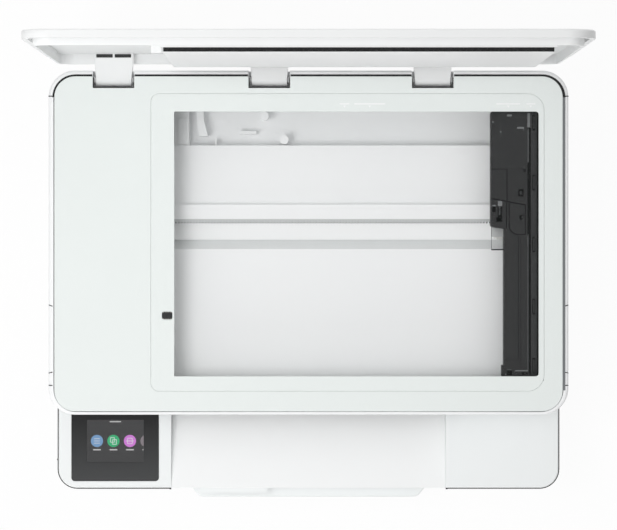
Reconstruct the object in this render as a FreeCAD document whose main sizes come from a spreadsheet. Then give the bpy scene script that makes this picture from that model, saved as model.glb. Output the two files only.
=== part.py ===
import FreeCAD, Part
import math
import os
import re

import Sketcher
from FreeCAD import Rotation, Vector

doc = FreeCAD.newDocument("printer")
sheet = doc.addObject("Spreadsheet::Sheet", "Sizes")

# Driving sizes in mm. X is to the right, Y to the back and Z up, with the lid standing open.
SIZES = {
    # outer sizes
    "base_width": 427.0,
    "scanner_width": 433.6,
    "lid_width": 436.0,
    "lip_reach": 9.0,
    "deck_reach": 66.0,
    "scanner_depth": 287.0,
    "foot_height": 3.0,
    "deck_height": 75.0,
    "base_height": 95.0,
    "scanner_gap": 0.5,
    "scanner_height": 49.5,
    "rear_setback": 10.0,
    # walls and gaps
    "wall": 2.5,
    "seam": 0.3,
    "run_gap": 0.05,
    "slide_gap": 0.4,
    "base_corner": 16.0,
    "pan_height": 11.0,
    # front deck, screen and ramp
    "deck_tuck": 17.0,
    "deck_width": 96.5,
    "ramp_rear_depth": 129.0,
    "ramp_drop": 28.0,
    "lens_side": 11.1,
    "lens_width": 74.5,
    "lens_front": 5.8,
    "lens_depth": 65.0,
    "lens_thick": 1.8,
    "lens_corner": 3.0,
    "lens_rise": 0.2,
    "display_width": 48.8,
    "display_depth": 36.3,
    "display_from_left": 13.0,
    "display_from_front": 16.0,
    "module_thick": 6.0,
    "extender_side": 25.0,
    "extender_length": 84.0,
    "extender_thick": 3.0,
    "tab_width": 58.0,
    "tab_reach": 4.3,
    # paper tray
    "tray_side": 5.0,
    "tray_clear": 0.5,
    "tray_wall_top": 34.5,
    "tray_rear_room": 41.6,
    "tray_skin": 2.0,
    "front_clear": 0.8,
    "front_thick": 3.4,
    "lip_side": 14.0,
    "lip_taper": 12.0,
    "lip_low": 50.0,
    "lip_high": 58.0,
    "guide_room": 7.0,
    "guide_height": 24.0,
    "guide_length": 100.0,
    # scanner shell and its window
    "shell_wall": 4.2,
    "shell_corner": 22.0,
    "shell_drop": 0.8,
    "side_seam": 0.7,
    "rear_seam": 1.2,
    "cover_thick": 2.5,
    "cover_frame": 4.2,
    "bezel_left": 85.3,
    "bezel_right": 20.3,
    "bezel_front": 19.6,
    "bezel_rear": 19.2,
    "bezel_thick": 1.2,
    "bezel_round_left": 7.0,
    "bezel_round_right": 14.0,
    "window_left": 104.9,
    "window_right": 24.95,
    "window_front": 32.1,
    "window_rear": 34.2,
    "window_corner": 1.0,
    "glass_lap": 4.0,
    "glass_thick": 3.0,
    "grip_front": 34.8,
    "grip_length": 55.5,
    "grip_depth": 2.4,
    "grip_height": 26.0,
    # scan head, rail and rack
    "head_width": 39.6,
    "head_nose": 28.7,
    "head_height": 17.4,
    "head_step": 156.7,
    "bearing_height": 7.0,
    "head_gap": 0.5,
    "rail_front": 163.3,
    "rail_depth": 12.2,
    "shoe_height": 2.9,
    "shelf_drop": 7.0,
    "tooth_module": 0.8,
    "scan_teeth": 18.0,
    "rack_width": 8.0,
    "backlash": 0.12,
    # lid
    "lid_wall_back": 6.0,
    "lid_wall_depth": 9.8,
    "lid_skin": 2.2,
    "lid_gap": 4.0,
    "lid_front_reach": 1.0,
    "lid_corner": 22.0,
    "lid_lip": 4.5,
    "lid_inset": 8.5,
    "frame_wall": 2.0,
    "frame_floor": 1.4,
    "pad_side": 0.2,
    "pad_width": 300.1,
    "pad_height": 226.0,
    "pad_lift": 26.0,
    "foam_thick": 3.3,
    "sheet_thick": 0.4,
    "pivot_inset": 7.5,
    "leg_width": 32.0,
    "leg_thick": 10.0,
    "leg_left_side": 54.2,
    "leg_middle": -32.7,
    "leg_right_side": 113.2,
    "notch_play": 1.35,
    "lid_pin": 2.5,
    # hinge of the scanner on the base
    "knuckle_at": 150.0,
    "knuckle_width": 14.0,
    "ear_width": 6.0,
    "ear_radius": 4.0,
    "hinge_pin": 1.8,
    # print engine
    "paper_level": 48.0,
    "roller_gap": 1.0,
    "roller_radius": 6.0,
    "shaft_radius": 3.0,
    "gear_module": 1.0,
    "feed_teeth": 40.0,
    "idler_teeth": 17.0,
    "gear_width": 6.0,
    "pinch_radius": 3.0,
    "star_radius": 4.0,
    "paper_nip": 0.4,
    "frame_left_side": 19.5,
    "frame_right_side": 17.5,
    "frame_sheet": 1.5,
    "beam_back": 40.0,
    "beam_low": 46.0,
    "frame_clear": 3.0,
    "rod_radius": 4.0,
    "rod_back": 16.0,
    "rod_rise": 16.0,
    "carriage_park": 46.0,
    "carriage_width": 76.0,
    "carriage_lift": 2.0,
    "carriage_clear": 3.5,
    "carriage_reach": 24.0,
    "cartridge_width": 31.0,
    "jet_half": 10.0,
    "latch_pin": 1.1,
    "pulley_radius": 7.0,
    "pulley_side": 16.0,
    "pulley_drop": 18.0,
    "belt_back": 30.0,
    "belt_width": 4.0,
    "belt_thick": 1.2,
    "motor_radius": 11.0,
    "pick_back": 16.0,
    "pick_z": 44.0,
    "pick_reach": 32.0,
    "pick_fall": 20.0,
    "pick_radius": 9.0,
    # rear connectors and buttons
    "inlet_side": 48.5,
    "port_z": 30.0,
    "port_rim": 8.0,
    "socket_side": 63.5,
    "button_side": 101.5,
    "button_z": 66.0,
    "button_radius": 5.5,
    "button_play": 0.35,
    "foot_radius": 9.0,
}
for row, (alias, size) in enumerate(SIZES.items(), 1):
    sheet.set(f"A{row}", str(size))
    sheet.setAlias(f"A{row}", alias)
doc.recompute()

# Positions that follow from the sizes, as expressions of them.
PLACES = {
    "lid_back_reach": "lid_wall_back + lid_wall_depth + lid_skin",
    "lip_front": "-(lip_reach + deck_reach + scanner_depth + lid_back_reach) / 2",
    "deck_front": "lip_front + lip_reach",
    "scan_front": "deck_front + deck_reach",
    "scan_rear": "scan_front + scanner_depth",
    "base_rear": "scan_rear - rear_setback",
    "scan_low": "base_height + scanner_gap",
    "panel_top": "scan_low + scanner_height",
    "base_half": "base_width / 2",
    "scan_half": "scanner_width / 2",
    "lid_half": "lid_width / 2",
    "floor_top": "foot_height + wall",
    "deck_low": "deck_height - wall",
    "deck_rear": "scan_front + deck_tuck",
    "ramp_rear": "deck_front + ramp_rear_depth",
    "column_half": "base_half - deck_width",
    "lens_x0": "lens_side - base_half",
    "lens_x1": "lens_x0 + lens_width",
    "lens_y0": "deck_front + lens_front",
    "lens_y1": "lens_y0 + lens_depth",
    "lens_low": "deck_height - lens_thick",
    "display_x0": "lens_x0 + display_from_left",
    "display_x1": "display_x0 + display_width",
    "display_y0": "lens_y0 + display_from_front",
    "display_y1": "display_y0 + display_depth",
    "extender_half": "column_half - extender_side",
    "extender_drop": "wall + slide_gap",
    "ledge_drop": "extender_drop + extender_thick + 0.1",
    "ramp_low": "deck_height - ramp_drop",
    "slope": "ramp_drop / ramp_rear_depth",
    "pan_top": "foot_height + pan_height",
    "tray_front": "deck_front + front_thick",
    "tray_half": "column_half - tray_side",
    "tray_rear": "base_rear - tray_rear_room",
    "tray_floor_low": "floor_top + tray_clear",
    "tray_floor": "tray_floor_low + tray_skin",
    "front_top": "deck_height - extender_drop - extender_thick - front_clear",
    "lip_back_half": "column_half - lip_side",
    "lip_front_half": "lip_back_half - lip_taper",
    "paper_half": "tray_half - guide_room",
    "inner_half": "scan_half - shell_wall",
    "shell_top": "panel_top - shell_drop",
    "scan_floor": "scan_low + wall",
    "cover_low": "panel_top - cover_thick",
    "cover_front": "scan_front + shell_wall - 1.3",
    "cover_rear": "scan_rear - shell_wall + 0.6 - rear_seam",
    "bezel_x0": "bezel_left - scan_half",
    "bezel_x1": "scan_half - bezel_right",
    "window_x0": "window_left - scan_half",
    "window_x1": "scan_half - window_right",
    "bezel_y0": "scan_front + bezel_front",
    "bezel_y1": "scan_rear - bezel_rear",
    "window_y0": "scan_front + window_front",
    "window_y1": "scan_rear - window_rear",
    "glass_top": "panel_top - bezel_thick",
    "glass_low": "glass_top - glass_thick",
    "head_top": "glass_low - head_gap",
    "head_low": "head_top - head_height",
    "head_left": "window_x1 - head_width",
    "nose_left": "window_x1 - head_nose",
    "rail_y0": "scan_front + rail_front",
    "rail_y1": "rail_y0 + rail_depth",
    "rail_z": "head_low - shoe_height",
    "shelf_z": "rail_z - shelf_drop",
    "shelf_front_y": "scan_front + shell_wall + 4",
    "ramp_foot_y": "rail_y0 - 25.4",
    "shelf_rear_y": "window_y1 - 27.4",
    "rack_pitch_y": "rail_y0 - 3",
    "pinion_radius": "tooth_module * scan_teeth / 2",
    "pinion_x": "head_left + 9",
    "pinion_y": "rack_pitch_y - pinion_radius",
    "pivot_y": "scan_rear - pivot_inset",
    "pivot_z": "panel_top + lid_gap - pivot_inset - lid_wall_back",
    "wall_plane": "scan_rear + lid_wall_back",
    "lid_floor": "wall_plane + lid_wall_depth",
    "lid_face": "lid_floor + lid_skin",
    "lid_low": "pivot_z + pivot_y - scan_rear",
    "lid_high": "pivot_z + pivot_y - scan_front + lid_front_reach",
    "leg_left": "leg_left_side - scan_half",
    "leg_right": "scan_half - leg_right_side",
    "pad_x0": "window_x0 + pad_side",
    "pad_x1": "pad_x0 + pad_width",
    "pad_low": "lid_low + pad_lift",
    "pad_high": "pad_low + pad_height",
    "notch_half": "leg_width / 2 + notch_play",
    "notch_low": "pivot_z - leg_thick / 2 - 2.5",
    "ear_y": "base_rear + ear_radius + 1",
    "ear_z": "scan_low - ear_radius - 0.5",
    "feed_z": "paper_level - roller_radius",
    "gear_radius": "gear_module * feed_teeth / 2",
    "idler_radius": "gear_module * idler_teeth / 2",
    "exit_y": "ramp_rear + roller_radius + roller_gap",
    "idler_y": "exit_y + gear_radius + idler_radius",
    "feed_y": "idler_y + idler_radius + gear_radius",
    "motor_y": "feed_y + gear_radius + idler_radius",
    "frame_left": "frame_left_side - base_half",
    "frame_right": "base_half - frame_right_side",
    "frame_top": "base_height - frame_clear",
    "frame_span": "frame_right - frame_left + frame_sheet",
    "beam_y": "feed_y + beam_back",
    "beam_rear": "beam_y + frame_sheet",
    "rod_y": "feed_y + rod_back",
    "rod_z": "paper_level + rod_rise",
    "gear_x": "frame_left - 1 - gear_width",
    "pinch_z": "paper_level + paper_nip + pinch_radius",
    "star_z": "paper_level + paper_nip + star_radius",
    "carriage_x": "frame_right - carriage_park",
    "carriage_left": "carriage_x - carriage_width / 2",
    "carriage_right": "carriage_x + carriage_width / 2",
    "carriage_front": "exit_y + roller_radius + 3 * roller_gap",
    "carriage_back": "feed_y + carriage_reach",
    "carriage_low": "paper_level + carriage_lift",
    "carriage_high": "base_height - carriage_clear",
    "back_low": "pinch_z + pinch_radius + 2.5",
    "latch_y": "carriage_front - 1.5",
    "latch_z": "carriage_low + 16",
    "pulley_x": "frame_right - pulley_side",
    "pulley_z": "base_height - pulley_drop",
    "belt_y": "feed_y + belt_back",
    "belt_inner": "pulley_radius + seam",
    "belt_outer": "belt_inner + belt_thick",
    "pick_y": "beam_y + pick_back",
    "pick_roller_y": "pick_y + pick_reach",
    "pick_roller_z": "pick_z - pick_fall",
    "turn_z": "paper_level - 17",
    "inlet_x": "base_half - inlet_side",
    "socket_x": "socket_side - base_half",
    "button_x": "base_half - button_side",
}
WORD = re.compile(r"[a-z][a-z0-9_]*")


def bound(text):
    """A size expression with every name replaced by its cell or by the places it stands for."""

    def swap(match):
        word = match.group(0)
        if word in PLACES:
            return "(" + bound(PLACES[word]) + ")"
        return "Sizes." + word if word in SIZES else word

    return WORD.sub(swap, text)


def number(text):
    """The present value of a size expression."""
    return float(sheet.evalExpression(bound(text)))


def block(name, x, y, z):
    """A box between two X, two Y and two Z positions."""
    box = doc.addObject("Part::Box", name)
    for side, axis, (low, high) in (("Length", "x", x), ("Width", "y", y), ("Height", "z", z)):
        box.setExpression(side, bound(f"({high}) - ({low})"))
        box.setExpression(f"Placement.Base.{axis}", bound(low))
    return box


TURNS = {"x": Rotation(Vector(0, 1, 0), 90), "y": Rotation(Vector(1, 0, 0), -90), "z": Rotation()}


def rod(name, axis, at, radius, length):
    """A cylinder that starts at a point and runs along one axis."""
    bar = doc.addObject("Part::Cylinder", name)
    bar.setExpression("Radius", bound(radius))
    bar.setExpression("Height", bound(length))
    bar.Placement.Rotation = TURNS[axis]
    for letter, place in zip("xyz", at):
        bar.setExpression(f"Placement.Base.{letter}", bound(place))
    return bar


def join(name, *pieces):
    whole = doc.addObject("Part::MultiFuse", name)
    whole.Shapes = list(pieces)
    whole.Refine = True
    return whole


def trim(name, base, *tools):
    tool = tools[0]
    if len(tools) > 1:
        tool = doc.addObject("Part::MultiFuse", name + "_tools")
        tool.Shapes = list(tools)
    rest = doc.addObject("Part::Cut", name)
    rest.Base = base
    rest.Tool = tool
    rest.Refine = True
    return rest


def common(name, first, second):
    overlap = doc.addObject("Part::Common", name)
    overlap.Base = first
    overlap.Tool = second
    return overlap


def group(name, *pieces):
    """Several equal loose solids in one sub-part."""
    lot = doc.addObject("Part::Compound", name)
    lot.Links = list(pieces)
    return lot


def fix(sketch, kind, line, place, label):
    """Holds the start of a sketch line at a bound distance from the origin."""
    at = sketch.addConstraint(Sketcher.Constraint(kind, -1, 1, line, 1, number(place)))
    sketch.renameConstraint(at, label)
    sketch.setExpression("Constraints." + label, bound(place))


def new_sketch(body, name, role, offset):
    sketch = body.newObject("Sketcher::SketchObject", name)
    plane = [feature for feature in body.Origin.OriginFeatures if feature.Role == role][0]
    sketch.AttachmentSupport = [(plane, "")]
    sketch.MapMode = "FlatFace"
    sketch.setExpression("AttachmentOffset.Base.z", bound(offset))
    return sketch


def rounded(sketch, u, v, radius):
    """A rectangle with four equal round corners, held by named distances."""
    u0, u1, v0, v1, r = [number(text) for text in (*u, *v, radius)]
    corners = [
        (u1 - r, v0 + r, -90), (u1 - r, v1 - r, 0), (u0 + r, v1 - r, 90), (u0 + r, v0 + r, 180)
    ]
    ends = [
        (Vector(u0 + r, v0), Vector(u1 - r, v0)),
        (Vector(u1, v0 + r), Vector(u1, v1 - r)),
        (Vector(u1 - r, v1), Vector(u0 + r, v1)),
        (Vector(u0, v1 - r), Vector(u0, v0 + r)),
    ]
    lines = [sketch.addGeometry(Part.LineSegment(a, b)) for a, b in ends]
    arcs = []
    for cu, cv, start in corners:
        circle = Part.Circle(Vector(cu, cv), Vector(0, 0, 1), r)
        arc = Part.ArcOfCircle(circle, math.radians(start), math.radians(start + 90))
        arcs.append(sketch.addGeometry(arc))
    for i in range(4):
        sketch.addConstraint(Sketcher.Constraint("Tangent", lines[i], 2, arcs[i], 1))
        sketch.addConstraint(Sketcher.Constraint("Tangent", arcs[i], 2, lines[(i + 1) % 4], 1))
        sketch.addConstraint(Sketcher.Constraint("Vertical" if i % 2 else "Horizontal", lines[i]))
        if i:
            sketch.addConstraint(Sketcher.Constraint("Equal", arcs[0], arcs[i]))
    fix(sketch, "DistanceX", lines[3], u[0], "left")
    fix(sketch, "DistanceX", lines[1], u[1], "right")
    fix(sketch, "DistanceY", lines[0], v[0], "low")
    fix(sketch, "DistanceY", lines[2], v[1], "high")
    at = sketch.addConstraint(Sketcher.Constraint("Radius", arcs[0], r))
    sketch.renameConstraint(at, "corner")
    sketch.setExpression("Constraints.corner", bound(radius))


def polygon(sketch, points):
    """A closed outline with every corner held by two bound distances."""
    spots = [Vector(number(u), number(v)) for u, v in points]
    count = len(spots)
    lines = [
        sketch.addGeometry(Part.LineSegment(spots[i], spots[(i + 1) % count]))
        for i in range(count)
    ]
    for i in range(count):
        sketch.addConstraint(
            Sketcher.Constraint("Coincident", lines[i], 2, lines[(i + 1) % count], 1)
        )
    for i, (u, v) in enumerate(points):
        fix(sketch, "DistanceX", lines[i], u, f"u{i}")
        fix(sketch, "DistanceY", lines[i], v, f"v{i}")


def pad(body, sketch, length, middle=False):
    solid = body.newObject("PartDesign::Pad", sketch.Name + "_pad")
    solid.Profile = sketch
    solid.setExpression("Length", bound(length))
    solid.Midplane = middle
    return solid


def slab(name, z, x, y, radius):
    """A round-cornered plate between two heights."""
    body = doc.addObject("PartDesign::Body", name)
    sketch = new_sketch(body, name + "_outline", "XY_Plane", z[0])
    rounded(sketch, x, y, radius)
    pad(body, sketch, f"({z[1]}) - ({z[0]})")
    return body


def upright(name, y, x, z, radius):
    """A round-cornered plate that stands between two Y positions."""
    body = doc.addObject("PartDesign::Body", name)
    sketch = new_sketch(body, name + "_outline", "XZ_Plane", f"-({y[1]})")
    rounded(sketch, x, z, radius)
    pad(body, sketch, f"({y[1]}) - ({y[0]})")
    return body


def profile(name, x, points):
    """A side outline in Y and Z, drawn out between two X positions."""
    body = doc.addObject("PartDesign::Body", name)
    sketch = new_sketch(body, name + "_outline", "YZ_Plane", x[0])
    polygon(sketch, points)
    pad(body, sketch, f"({x[1]}) - ({x[0]})")
    return body


def plan(name, z, points):
    """A top outline in X and Y, drawn out between two heights."""
    body = doc.addObject("PartDesign::Body", name)
    sketch = new_sketch(body, name + "_outline", "XY_Plane", z[0])
    polygon(sketch, points)
    pad(body, sketch, f"({z[1]}) - ({z[0]})")
    return body


def soften(body, radius, test):
    """Rounds the edges of a body's last feature whose middle point passes a test."""
    doc.recompute()
    tip = body.Tip
    names = []
    for i, edge in enumerate(tip.Shape.Edges, 1):
        middle = edge.valueAt((edge.FirstParameter + edge.LastParameter) / 2)
        if test(middle):
            names.append(f"Edge{i}")
    round_off = body.newObject("PartDesign::Fillet", body.Name + "_round")
    round_off.Base = (tip, names)
    round_off.setExpression("Radius", bound(radius))
    return body


def near(text, value):
    return abs(number(text) - value) < 0.01


def involute(teeth, module, width, backlash, bore):
    """A spur gear about Z with a tooth on +X, thinned by the backlash."""
    pitch = module * teeth / 2
    base = pitch * math.cos(math.radians(20))
    tip = pitch + 0.9 * module
    root = pitch - 1.25 * module
    spread = math.tan(math.radians(20)) - math.radians(20)
    half = math.pi / (2 * teeth) - backlash / (2 * pitch)
    low = max(base, root)
    flank = []
    for i in range(7):
        radius = low + (tip - low) * i / 6
        angle = math.acos(min(1, base / radius))
        flank.append((radius, half + spread - (math.tan(angle) - angle)))
    points = []
    for tooth in range(teeth):
        middle = 2 * math.pi * tooth / teeth
        side = [(root, flank[0][1])] + flank if root < low else flank
        for radius, turn in side:
            points.append((radius, middle - turn))
        for radius, turn in reversed(side):
            points.append((radius, middle + turn))
    corners = [Vector(r * math.cos(a), r * math.sin(a), 0) for r, a in points]
    wire = Part.makePolygon(corners + corners[:1])
    solid = Part.Face(wire).extrude(Vector(0, 0, width))
    if bore:
        solid = solid.cut(Part.makeCylinder(bore, width))
    return solid


def gear(name, teeth, module, width, at, turn, axis="x", bore="0"):
    """A spur gear at a point, with one tooth turned by an angle from Y, or from X about Z."""
    wheel = doc.addObject("Part::Feature", name)
    count = int(round(number(teeth)))
    wheel.Shape = involute(count, number(module), number(width), number("backlash"), number(bore))
    spin = Rotation(Vector(0, 0, 1), turn)
    if axis == "x":
        spin = Rotation(Vector(0, 1, 0), Vector(0, 0, 1), Vector(1, 0, 0), "ZXY").multiply(spin)
    wheel.Placement = FreeCAD.Placement(Vector(*[number(place) for place in at]), spin)
    return wheel


NODES = {}


def node(name, item):
    """Names a finished sub-part."""
    item.Label = name
    NODES[name] = item
    return item


def both(make):
    """The same piece for the left and the right, with the sign of its X."""
    return [make(side, sign) for side, sign in (("left", "-1"), ("right", "1"))]


# Base pan: floor with a low rim, open at the front for the tray, posts for the board.
pan = slab("pan_block", ("foot_height", "pan_top"), ("1 - base_half", "base_half - 1"),
           ("deck_front + 1", "base_rear - 1"), "base_corner - 1")
pan_hollow = slab(
    "pan_hollow",
    ("floor_top", "pan_top + 1"),
    ("1 + wall - base_half", "base_half - 1 - wall"),
    ("deck_front + 1 + wall", "base_rear - 1 - wall"),
    "base_corner - 1 - wall",
)
pan_gate = block("pan_gate", ("-column_half", "column_half"), ("deck_front - 1", "deck_front + 10"),
                 ("floor_top", "pan_top + 1"))
posts = [
    rod(f"post_{i}", "z", (x, y, "floor_top - 1"), "3", "7.5")
    for i, (x, y) in enumerate(
        [
            ("13.5 - base_half", "deck_front + 20"),
            ("-column_half - 11", "deck_front + 20"),
            ("13.5 - base_half", "deck_front + 100"),
            ("-column_half - 11", "deck_front + 100"),
        ]
    )
]
node("base_pan", join("base_pan_body", trim("pan_tub", pan, pan_hollow, pan_gate), *posts))

# Base shell: the walls, high behind the deck, with the doorway of the tray and the rear openings.
shell = slab("shell_block", ("pan_top + seam", "base_height"), ("-base_half", "base_half"),
             ("deck_front", "base_rear"), "base_corner")
shell_hollow = slab(
    "shell_hollow",
    ("pan_top", "base_height + 1"),
    ("wall - base_half", "base_half - wall"),
    ("deck_front + wall", "base_rear - wall"),
    "base_corner - wall",
)
shell_step = block(
    "shell_step",
    ("-base_half - 1", "base_half + 1"),
    ("deck_front - 1", "deck_rear + seam"),
    ("deck_low - seam", "base_height + 1"),
)
doorway = block(
    "doorway",
    ("-column_half", "column_half"),
    ("deck_front - 1", "deck_front + wall + 1"),
    ("pan_top - 1", "deck_height"),
)
port_gaps = []
port_plates = []
PORTS = {"inlet": ("inlet_x", "14.2", "10.2"), "socket": ("socket_x", "8.2", "8.2")}
for port, (x, half_x, half_z) in PORTS.items():
    in_wall = ("base_rear - wall", "base_rear")
    through = ("base_rear - wall - 1", "base_rear + 1")
    reach = f"({half_x} + port_rim)"
    top = f"port_z + {half_z} + port_rim"
    port_gaps.append(
        block(f"{port}_gap", (f"{x} - {reach}", f"{x} + {reach}"), through, ("pan_top", top))
    )
    rim = block(
        f"{port}_rim",
        (f"{x} - {reach} + seam / 2", f"{x} + {reach} - seam / 2"),
        in_wall,
        ("pan_top + seam", f"{top} - seam / 2"),
    )
    mouth = block(
        f"{port}_mouth",
        (f"{x} - {half_x}", f"{x} + {half_x}"),
        through,
        (f"port_z - {half_z}", f"port_z + {half_z}"),
    )
    port_plates.append(trim(f"{port}_plate", rim, mouth))
button_hole = rod(
    "button_hole",
    "y",
    ("button_x", "base_rear - wall - 1", "button_z"),
    "button_radius + button_play",
    "wall + 2",
)
walls = trim("shell_walls", shell, shell_hollow, shell_step, doorway, *port_gaps, button_hole)
cheeks = both(
    lambda side, sign: block(
        f"front_cheek_{side}",
        ("-base_half + 0.2", "-column_half") if sign == "-1" else (
            "column_half", "base_half - 0.2"
        ),
        ("deck_rear - wall - 3", "deck_rear + seam + 3"),
        ("deck_height + seam", "base_height"),
    )
)
ears = []
for side, sign in (("left", "-1"), ("right", "1")):
    for i, step in enumerate(("-knuckle_width / 2 - ear_width - 0.3", "knuckle_width / 2 + 0.3")):
        x0 = f"{sign} * knuckle_at + ({step})"
        plate = block(f"ear_{side}_{i}", (x0, f"{x0} + ear_width"), ("base_rear - 1", "ear_y"),
                      ("ear_z - ear_radius - 4", "ear_z + ear_radius"))
        eye = rod(f"eye_{side}_{i}", "x", (x0, "ear_y", "ear_z"), "ear_radius", "ear_width")
        bore = rod(
            f"ear_bore_{side}_{i}",
            "x",
            (f"{x0} - 1", "ear_y", "ear_z"),
            "hinge_pin + run_gap",
            "ear_width + 2",
        )
        ears.append(trim(f"ear_whole_{side}_{i}", join(f"ear_sum_{side}_{i}", plate, eye), bore))
node("base_shell", join("base_shell_body", walls, *cheeks, *ears))
node("port_plates", group("port_plates_group", *port_plates))

node(
    "feet",
    group(
        "feet_group",
        *[
            rod(f"foot_{i}", "z", (x, y, "0"), "foot_radius", "foot_height")
            for i, (x, y) in enumerate(
                [
                    ("-base_half + 28", "deck_front + 22"),
                    ("base_half - 28", "deck_front + 22"),
                    ("-base_half + 28", "base_rear - 22"),
                    ("base_half - 28", "base_rear - 22"),
                ]
            )
        ],
    ),
)

# Front decks: one rounded plate, split by the ramp, each half with a skirt down to the ramp.
for side, sign in (("left", "-1"), ("right", "1")):
    plate = slab(f"deck_plate_{side}", ("deck_low", "deck_height"), ("-base_half", "base_half"),
                 ("deck_front", "deck_rear + 40"), "base_corner")
    soften(plate, "1.2", lambda p: near("deck_height", p.z))
    reach = ("-base_half - 1", "-column_half - seam") if side == "left" else (
        "column_half + seam", "base_half + 1"
    )
    half = common(
        f"deck_half_{side}",
        plate,
        block(
            f"deck_reach_{side}",
            reach,
            ("deck_front - 1", "deck_rear"),
            ("deck_low - 1", "deck_height + 1"),
        ),
    )
    skirt_x = ("-column_half - seam - 2", "-column_half - seam") if side == "left" else (
        "column_half + seam", "column_half + seam + 2")
    skirt = block(
        f"deck_skirt_{side}",
        skirt_x,
        ("deck_front + wall + 1.5", "deck_rear"),
        ("deck_low - 25", "deck_low + 1"),
    )
    whole = join(f"deck_sum_{side}", half, skirt)
    if side == "left":
        pocket = slab(
            "lens_pocket",
            ("lens_low", "deck_height + 1"),
            ("lens_x0 - seam / 2", "lens_x1 + seam / 2"),
            ("lens_y0 - seam / 2", "lens_y1 + seam / 2"),
            "lens_corner + seam / 2",
        )
        view = slab("view_hole", ("deck_low - 1", "deck_height"),
                    ("display_x0 - 1", "display_x1 + 1"),
                    ("display_y0 - 1", "display_y1 + 1"), "1")
        whole = trim("deck_left_body", whole, pocket, view)
    node(f"deck_{side}", whole)
lens = slab(
    "lens_plate",
    ("lens_low", "deck_height + lens_rise"),
    ("lens_x0", "lens_x1"),
    ("lens_y0", "lens_y1"),
    "lens_corner",
)
node("screen_lens", lens)
module = slab("module_block", ("deck_low - module_thick", "lens_low"), ("display_x0", "display_x1"),
              ("display_y0", "display_y1"), "0.8")
module_rim = slab("module_rim", ("deck_low - module_thick", "deck_low"),
                  ("display_x0 - 6", "display_x1 + 6"), ("display_y0 - 6", "display_y1 + 6"), "1.5")
node("display_module", join("display_module_body", module, module_rim))

# Output ramp with runners for the extender that slides out under it.
ramp = profile(
    "ramp_plate",
    ("-column_half", "column_half"),
    [
        ("deck_front", "deck_height"),
        ("deck_front", "deck_low"),
        ("ramp_rear", "ramp_low - wall"),
        ("ramp_rear", "ramp_low"),
    ],
)
runners = []
for side, sign in (("left", "-1"), ("right", "1")):
    spans = {
        "runner": (
            "extender_half + slide_gap",
            "extender_half + slide_gap + 4",
            "wall - 0.2",
            "ledge_drop + 0.9",
        ),
        "ledge": (
            "extender_half - 3", "extender_half + slide_gap + 4", "ledge_drop", "ledge_drop + 1.4"
        ),
    }
    for part, (near_x, far_x, top, low) in spans.items():
        x = (f"-({far_x})", f"-({near_x})") if side == "left" else (near_x, far_x)
        y0 = "deck_front + 8"
        y1 = "deck_front + extender_length + 12"
        runners.append(profile(f"{part}_{side}", x, [
            (y0, f"deck_height - slope * 8 - ({top})"), (y0, f"deck_height - slope * 8 - ({low})"),
            (y1, f"deck_height - slope * (extender_length + 12) - ({low})"),
            (y1, f"deck_height - slope * (extender_length + 12) - ({top})")]))
node("output_ramp", join("output_ramp_body", ramp, *runners))
plate = profile(
    "extender_plate",
    ("-extender_half", "extender_half"),
    [
        ("deck_front", "deck_height - extender_drop"),
        ("deck_front", "deck_height - extender_drop - extender_thick"),
        (
            "deck_front + extender_length",
            "deck_height - slope * extender_length - extender_drop - extender_thick",
        ),
        ("deck_front + extender_length", "deck_height - slope * extender_length - extender_drop"),
    ],
)
tab = plan(
    "extender_tab",
    ("deck_height - extender_drop - extender_thick", "deck_height - extender_drop"),
    [
        ("-extender_half", "deck_front + 0.2"),
        ("2 - extender_half", "deck_front - tab_reach"),
        ("tab_width - extender_half - 2", "deck_front - tab_reach"),
        ("tab_width - extender_half", "deck_front + 0.2"),
    ],
)
node("output_extender", join("output_extender_body", plate, tab))

# Paper tray: a pan that is open at the rear, and a front with the lip to pull it by.
tray_x = ("-tray_half", "tray_half")
tray_floor_plate = block(
    "tray_floor_plate", tray_x, ("tray_front", "tray_rear"), ("tray_floor_low", "tray_floor")
)
tray_sides = both(
    lambda side, sign: block(
        f"tray_side_{side}",
        ("-tray_half", "tray_skin - tray_half") if sign == "-1" else (
            "tray_half - tray_skin", "tray_half"
        ),
        ("tray_front", "tray_rear"),
        ("tray_floor_low", "tray_wall_top"),
    )
)
tray_backs = both(lambda side, sign: block(
    f"tray_back_{side}", ("-tray_half", "-40") if sign == "-1" else ("40", "tray_half"),
    ("tray_rear - tray_skin", "tray_rear"), ("tray_floor_low", "tray_wall_top")))
node("tray_pan", join("tray_pan_body", tray_floor_plate, *tray_sides, *tray_backs))
front_face = upright(
    "tray_face",
    ("deck_front", "tray_front"),
    ("-column_half + slide_gap", "column_half - slide_gap"),
    ("tray_floor_low", "front_top"),
    "2",
)
lip = plan(
    "tray_lip",
    ("lip_low", "lip_high"),
    [
        ("-lip_back_half", "deck_front + 0.5"),
        ("-lip_back_half", "deck_front"),
        ("-lip_back_half + 3.5", "deck_front - 0.15 * lip_reach"),
        ("-lip_front_half - 3.5", "deck_front - 0.85 * lip_reach"),
        ("-lip_front_half", "lip_front"),
        ("lip_front_half", "lip_front"),
        ("lip_front_half + 3.5", "deck_front - 0.85 * lip_reach"),
        ("lip_back_half - 3.5", "deck_front - 0.15 * lip_reach"),
        ("lip_back_half", "deck_front"),
        ("lip_back_half", "deck_front + 0.5"),
    ],
)
soften(
    lip,
    "1.5",
    lambda p: p.y < number("deck_front") - 0.1 and (near("lip_high", p.z) or near("lip_low", p.z)),
)
node("tray_front", join("tray_front_body", front_face, lip))
guide_z = ("tray_floor", "tray_floor + guide_height")
foot_z = ("tray_floor", "tray_floor + 1.6")
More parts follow.
